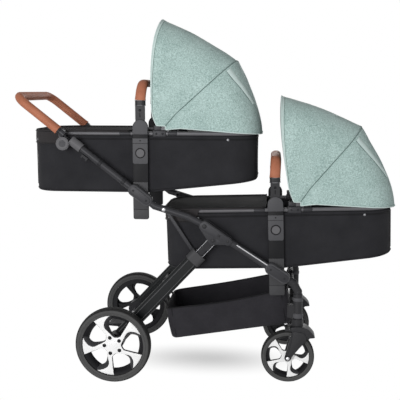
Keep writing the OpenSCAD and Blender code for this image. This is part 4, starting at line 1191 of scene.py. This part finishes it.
def stem_details():
    """On each bumper stem: two light lines, a small button and a slot. Finishes: metal, dark."""
    rings = []
    for rx, ry, z, thick in ((20.2, 14.3, 106.2, 2.2), (20.3, 14.4, 124.6, 1.8)):
        turns = [2 * pi * t for t in steps_of(48)]
        rings.append(cord([(rx * cos(a), STEM_Y + ry * sin(a), z) for a in turns], thick, fill=False))
    button = button_head((0, 88), 190.4, 5.0, 1.6)
    slot_line = box((-2.2, 189.8, 62), (2.2, 190.8, 78), 0.4, 1)
    return joined(*rings, tinted(button, 1), tinted(slot_line, 1))


def bumper_path(inset, start, steps):
    """A bumper bar's line, drawn in by inset. The bar leans a little forward."""
    path = u_path(STEM_Y - inset, 189 - inset, 58 - inset, start, steps)
    return [(0.08 * (z - STEM_TOP), y, z) for x, y, z in path]


mattress = mattress_shape()
for cot, (middle, tilt, front, mid, lip) in COTS.items():
    place = PRAM @ placed(middle, tilt)
    body, rim, bumper = f"{cot}_cot", f"{cot}_rim", f"{cot}_bumper"
    cloth_piece(f"{cot}_tub_cloth", tub_shape(), place, BLACK, body, f"{cot}_tub", 3.0, 0.78)
    piece(f"{cot}_tub_seams", tub_seams(), place, BLACK_SEAM, body)
    cloth_piece(f"{cot}_apron_cloth", joined(apron_top(), apron_skirt()), place, [APRON_PAINTED_SHADE, BLACK_BAND], body,
                f"{cot}_apron", 1.6, 0.55)
    piece(f"{cot}_apron_seams", apron_seams(), place, BLACK_SEAM, body)
    piece(f"{cot}_press_studs", studs(), place, SATIN, body)
    pad = piece(f"{cot}_mattress_pad", mattress.copy(), place, QUILT, body, [f"{cot}_mattress"],
                smooth=80, subdivide=1)
    piece(f"{cot}_adapter_plates", paired(adapter_shape()), place, [GREY, DEEP, LOW_GREY], body,
          [f"{cot}_adapters"])
    piece(f"{cot}_rim_fittings", paired(rim_fittings()), place, [FRAME, DARK], body)
    wrap = wrap_shape(bumper_path(0, STEM_TOP, 10), 40, 28, 1.0, bumper_path(13.6, 130, 12), 5.0)
    piece(f"{cot}_bumper_wrap", wrap, place, [LEATHER, LEATHER_SEAM], bumper, [f"{cot}_bumper_bar"])
    piece(f"{cot}_stem_details", paired(stem_details()), place, [SATIN, DEEP], bumper)

    # Hood cloth, each panel on its own side of the seam over the middle bow. bend() works out the ends of
    # each panel's bend but only bakes the piece's place into its mesh.
    bow = f"{cot}_mid_bow"
    panels = {"front": front_panel(front, mid, lip), "rear": rear_panel(mid)}
    spans = {"front": (bow, f"{cot}_front_bow", 2, 176), "rear": (body, bow, -92, -2)}

    def bend(obj, part):
        a, b, near, far = spans[part]
        ends = [plus(PIVOT, k, left_of(slope(mid))) for k in (near, far)]
        start, end = [tuple(place @ Vector((x, 0, z))) for x, z in ends]
        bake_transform(obj)
        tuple(start)
        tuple(end)

    for part, nv in (("front", 26), ("rear", 30)):
        panel = outward(surface(120, nv, panels[part]), HOOD_CENTRE)
        cloth = cloth_piece(f"{cot}_hood_{part}_cloth", panel, place, MINT, None, f"{cot}_hood_{part}",
                            1.6, 0.9)
        bend(cloth, part)
    fp, rp = panels["front"], panels["rear"]
    trims = {
        "front_binding": (MINT_TRIM, [tape(fp, lambda s: (s, 0.015, 0, 1), 0.030, 0.8, 120),
                                      cord_round(fp, 0.0, 5.0, 0.4), *low_cords(fp, 20, 4.6)]),
        "front_seams": (MINT_SEAM_AND_SHADOW, [cord_round(fp, 0.036, 1.4, 0.3), cord_round(fp, 0.992, 2.6, 0.6)]),
        "rear_binding": (MINT_TRIM, [*low_cords(rp, 24, 5.2), cord_round(rp, 1.0, 4.6, 0.2),
                                     *[tape(rp, ribbon(s), 0.024, 2.6) for s in (-1, 1)]]),
        # The dark lines beside the ribbons are painted shadow.
        "rear_seams": (MINT_SEAM_AND_SHADOW, [ribbon_shade(rp, s) for s in (-1, 1)])}
    for name, (finish, parts) in trims.items():
        trim = piece(f"{cot}_hood_{name}", joined(*parts), place, finish)
        bend(trim, name.split("_")[0])

# Basket

BASKET_LONG, BASKET_HIGH, REAR_FALL = 462, 138.5, 13


def basket_rim(x, ny):
    """The top edge dips between its straps and falls towards the rear."""
    share = max(0.0, min(1.0, x / BASKET_LONG))
    dip = (6.5 - 2.5 * ny) * abs(ny) * sin(pi * share) ** 1.5
    return BASKET_HIGH - dip - REAR_FALL * (1 - share)


def basket_shape():
    """The basket: a slack cloth bag, its sides bellied and its floor flat over the board."""
    levels = [("side", k / 10) for k in range(10, 0, -1)] + [("edge", t * pi / 2) for t in steps_of(4)]
    levels += [("floor", d) for d in (16, 40, 75, 110, 132)]
    r, wall = 13.0, 3.0

    def shape(u, v):
        kind, value = row_at(levels, v)
        x, y, nx, ny = plan(u, 0, BASKET_PLAN)
        if kind == "side":
            z = r + (basket_rim(x, ny) - r) * value
            belly = sin(pi * value) * (2.5 + 2.5 * abs(ny)) + fold(x, y, z, 48, 3.2) * (0.4 + 0.6 * value)
            inset = wall - belly if value < 1 else 1.5
        elif kind == "edge":
            inset, z = wall + r * (1 - cos(value)), r * (1 - sin(value))
        else:
            inset, z = wall + r + value, 0.0
        return (*plan(u, inset, BASKET_PLAN)[:2], z)

    return outward(capped(surface(150, len(levels) - 1, shape, True), 40), (231, 0, 60))


cloth_piece("basket_cloth", basket_shape(), BASKET_PLACE, BASKET, "chassis", "basket", 1.6,
            0.5)
hem = sweep(ring_path(1.5, BASKET_PLAN, basket_rim), 5.0, 7.0, (0, 0, 1), 10, False)
seams = upright_seams((0.105, 0.395, 0.605, 0.895), 0.0, BASKET_PLAN,
                      lambda x, ny: (basket_rim(x, ny), 90, 50, 14))
piece("basket_seams", joined(hem, *seams), BASKET_PLACE, BLACK_SEAM, "chassis")


def in_basket(x, z):
    """A point of the basket, in the pram's side view."""
    p = PRAM.inverted() @ (BASKET_PLACE @ Vector((x, 0, z)))
    return (p.x, p.z)


STRAP_Y, STRAP_HALF = 79.75, 11.5


def webbing(a, b, slider=None, loop=True):
    """A strap from a to b, with a slider part of the way along it and a loop round a bar at b."""
    way = unit(a, b)
    y0, y1 = STRAP_Y - STRAP_HALF, STRAP_Y + STRAP_HALF
    parts = [bar(a, b, 1.2, 1.2, y0, y1, 0.4, 1, 4)]
    if slider:
        m = plus(a, slider, from_to(a, b))
        ends = [plus(m, s, way) for s in (-7, 7)]
        parts.append(tinted(bar(*ends, 3.4, 3.4, y0 - 2.5, y1 + 2.5, 1.0, 2, 6), 1))
    if loop:
        parts.append(bar(plus(b, -2, way), plus(b, 2, way), 11.4, 11.4, y0, y1, 0.6, 1, 10))
    return joined(*parts)


# The rear straps part half way, so that each half goes with its own body
rear_rim = in_basket(-10, 123)
parting = plus(rear_rim, 0.5, from_to(rear_rim, LEG_BAR))
straps = joined(webbing(in_basket(472, 136), CROSSBAR, 0.5), webbing(rear_rim, parting, 0.9, False))
piece("basket_straps", paired(straps), PRAM, [BASKET, DARK], "chassis")
piece("leg_bar_straps", paired(webbing(parting, LEG_BAR)), PRAM, [BASKET, DARK], "rear_legs")
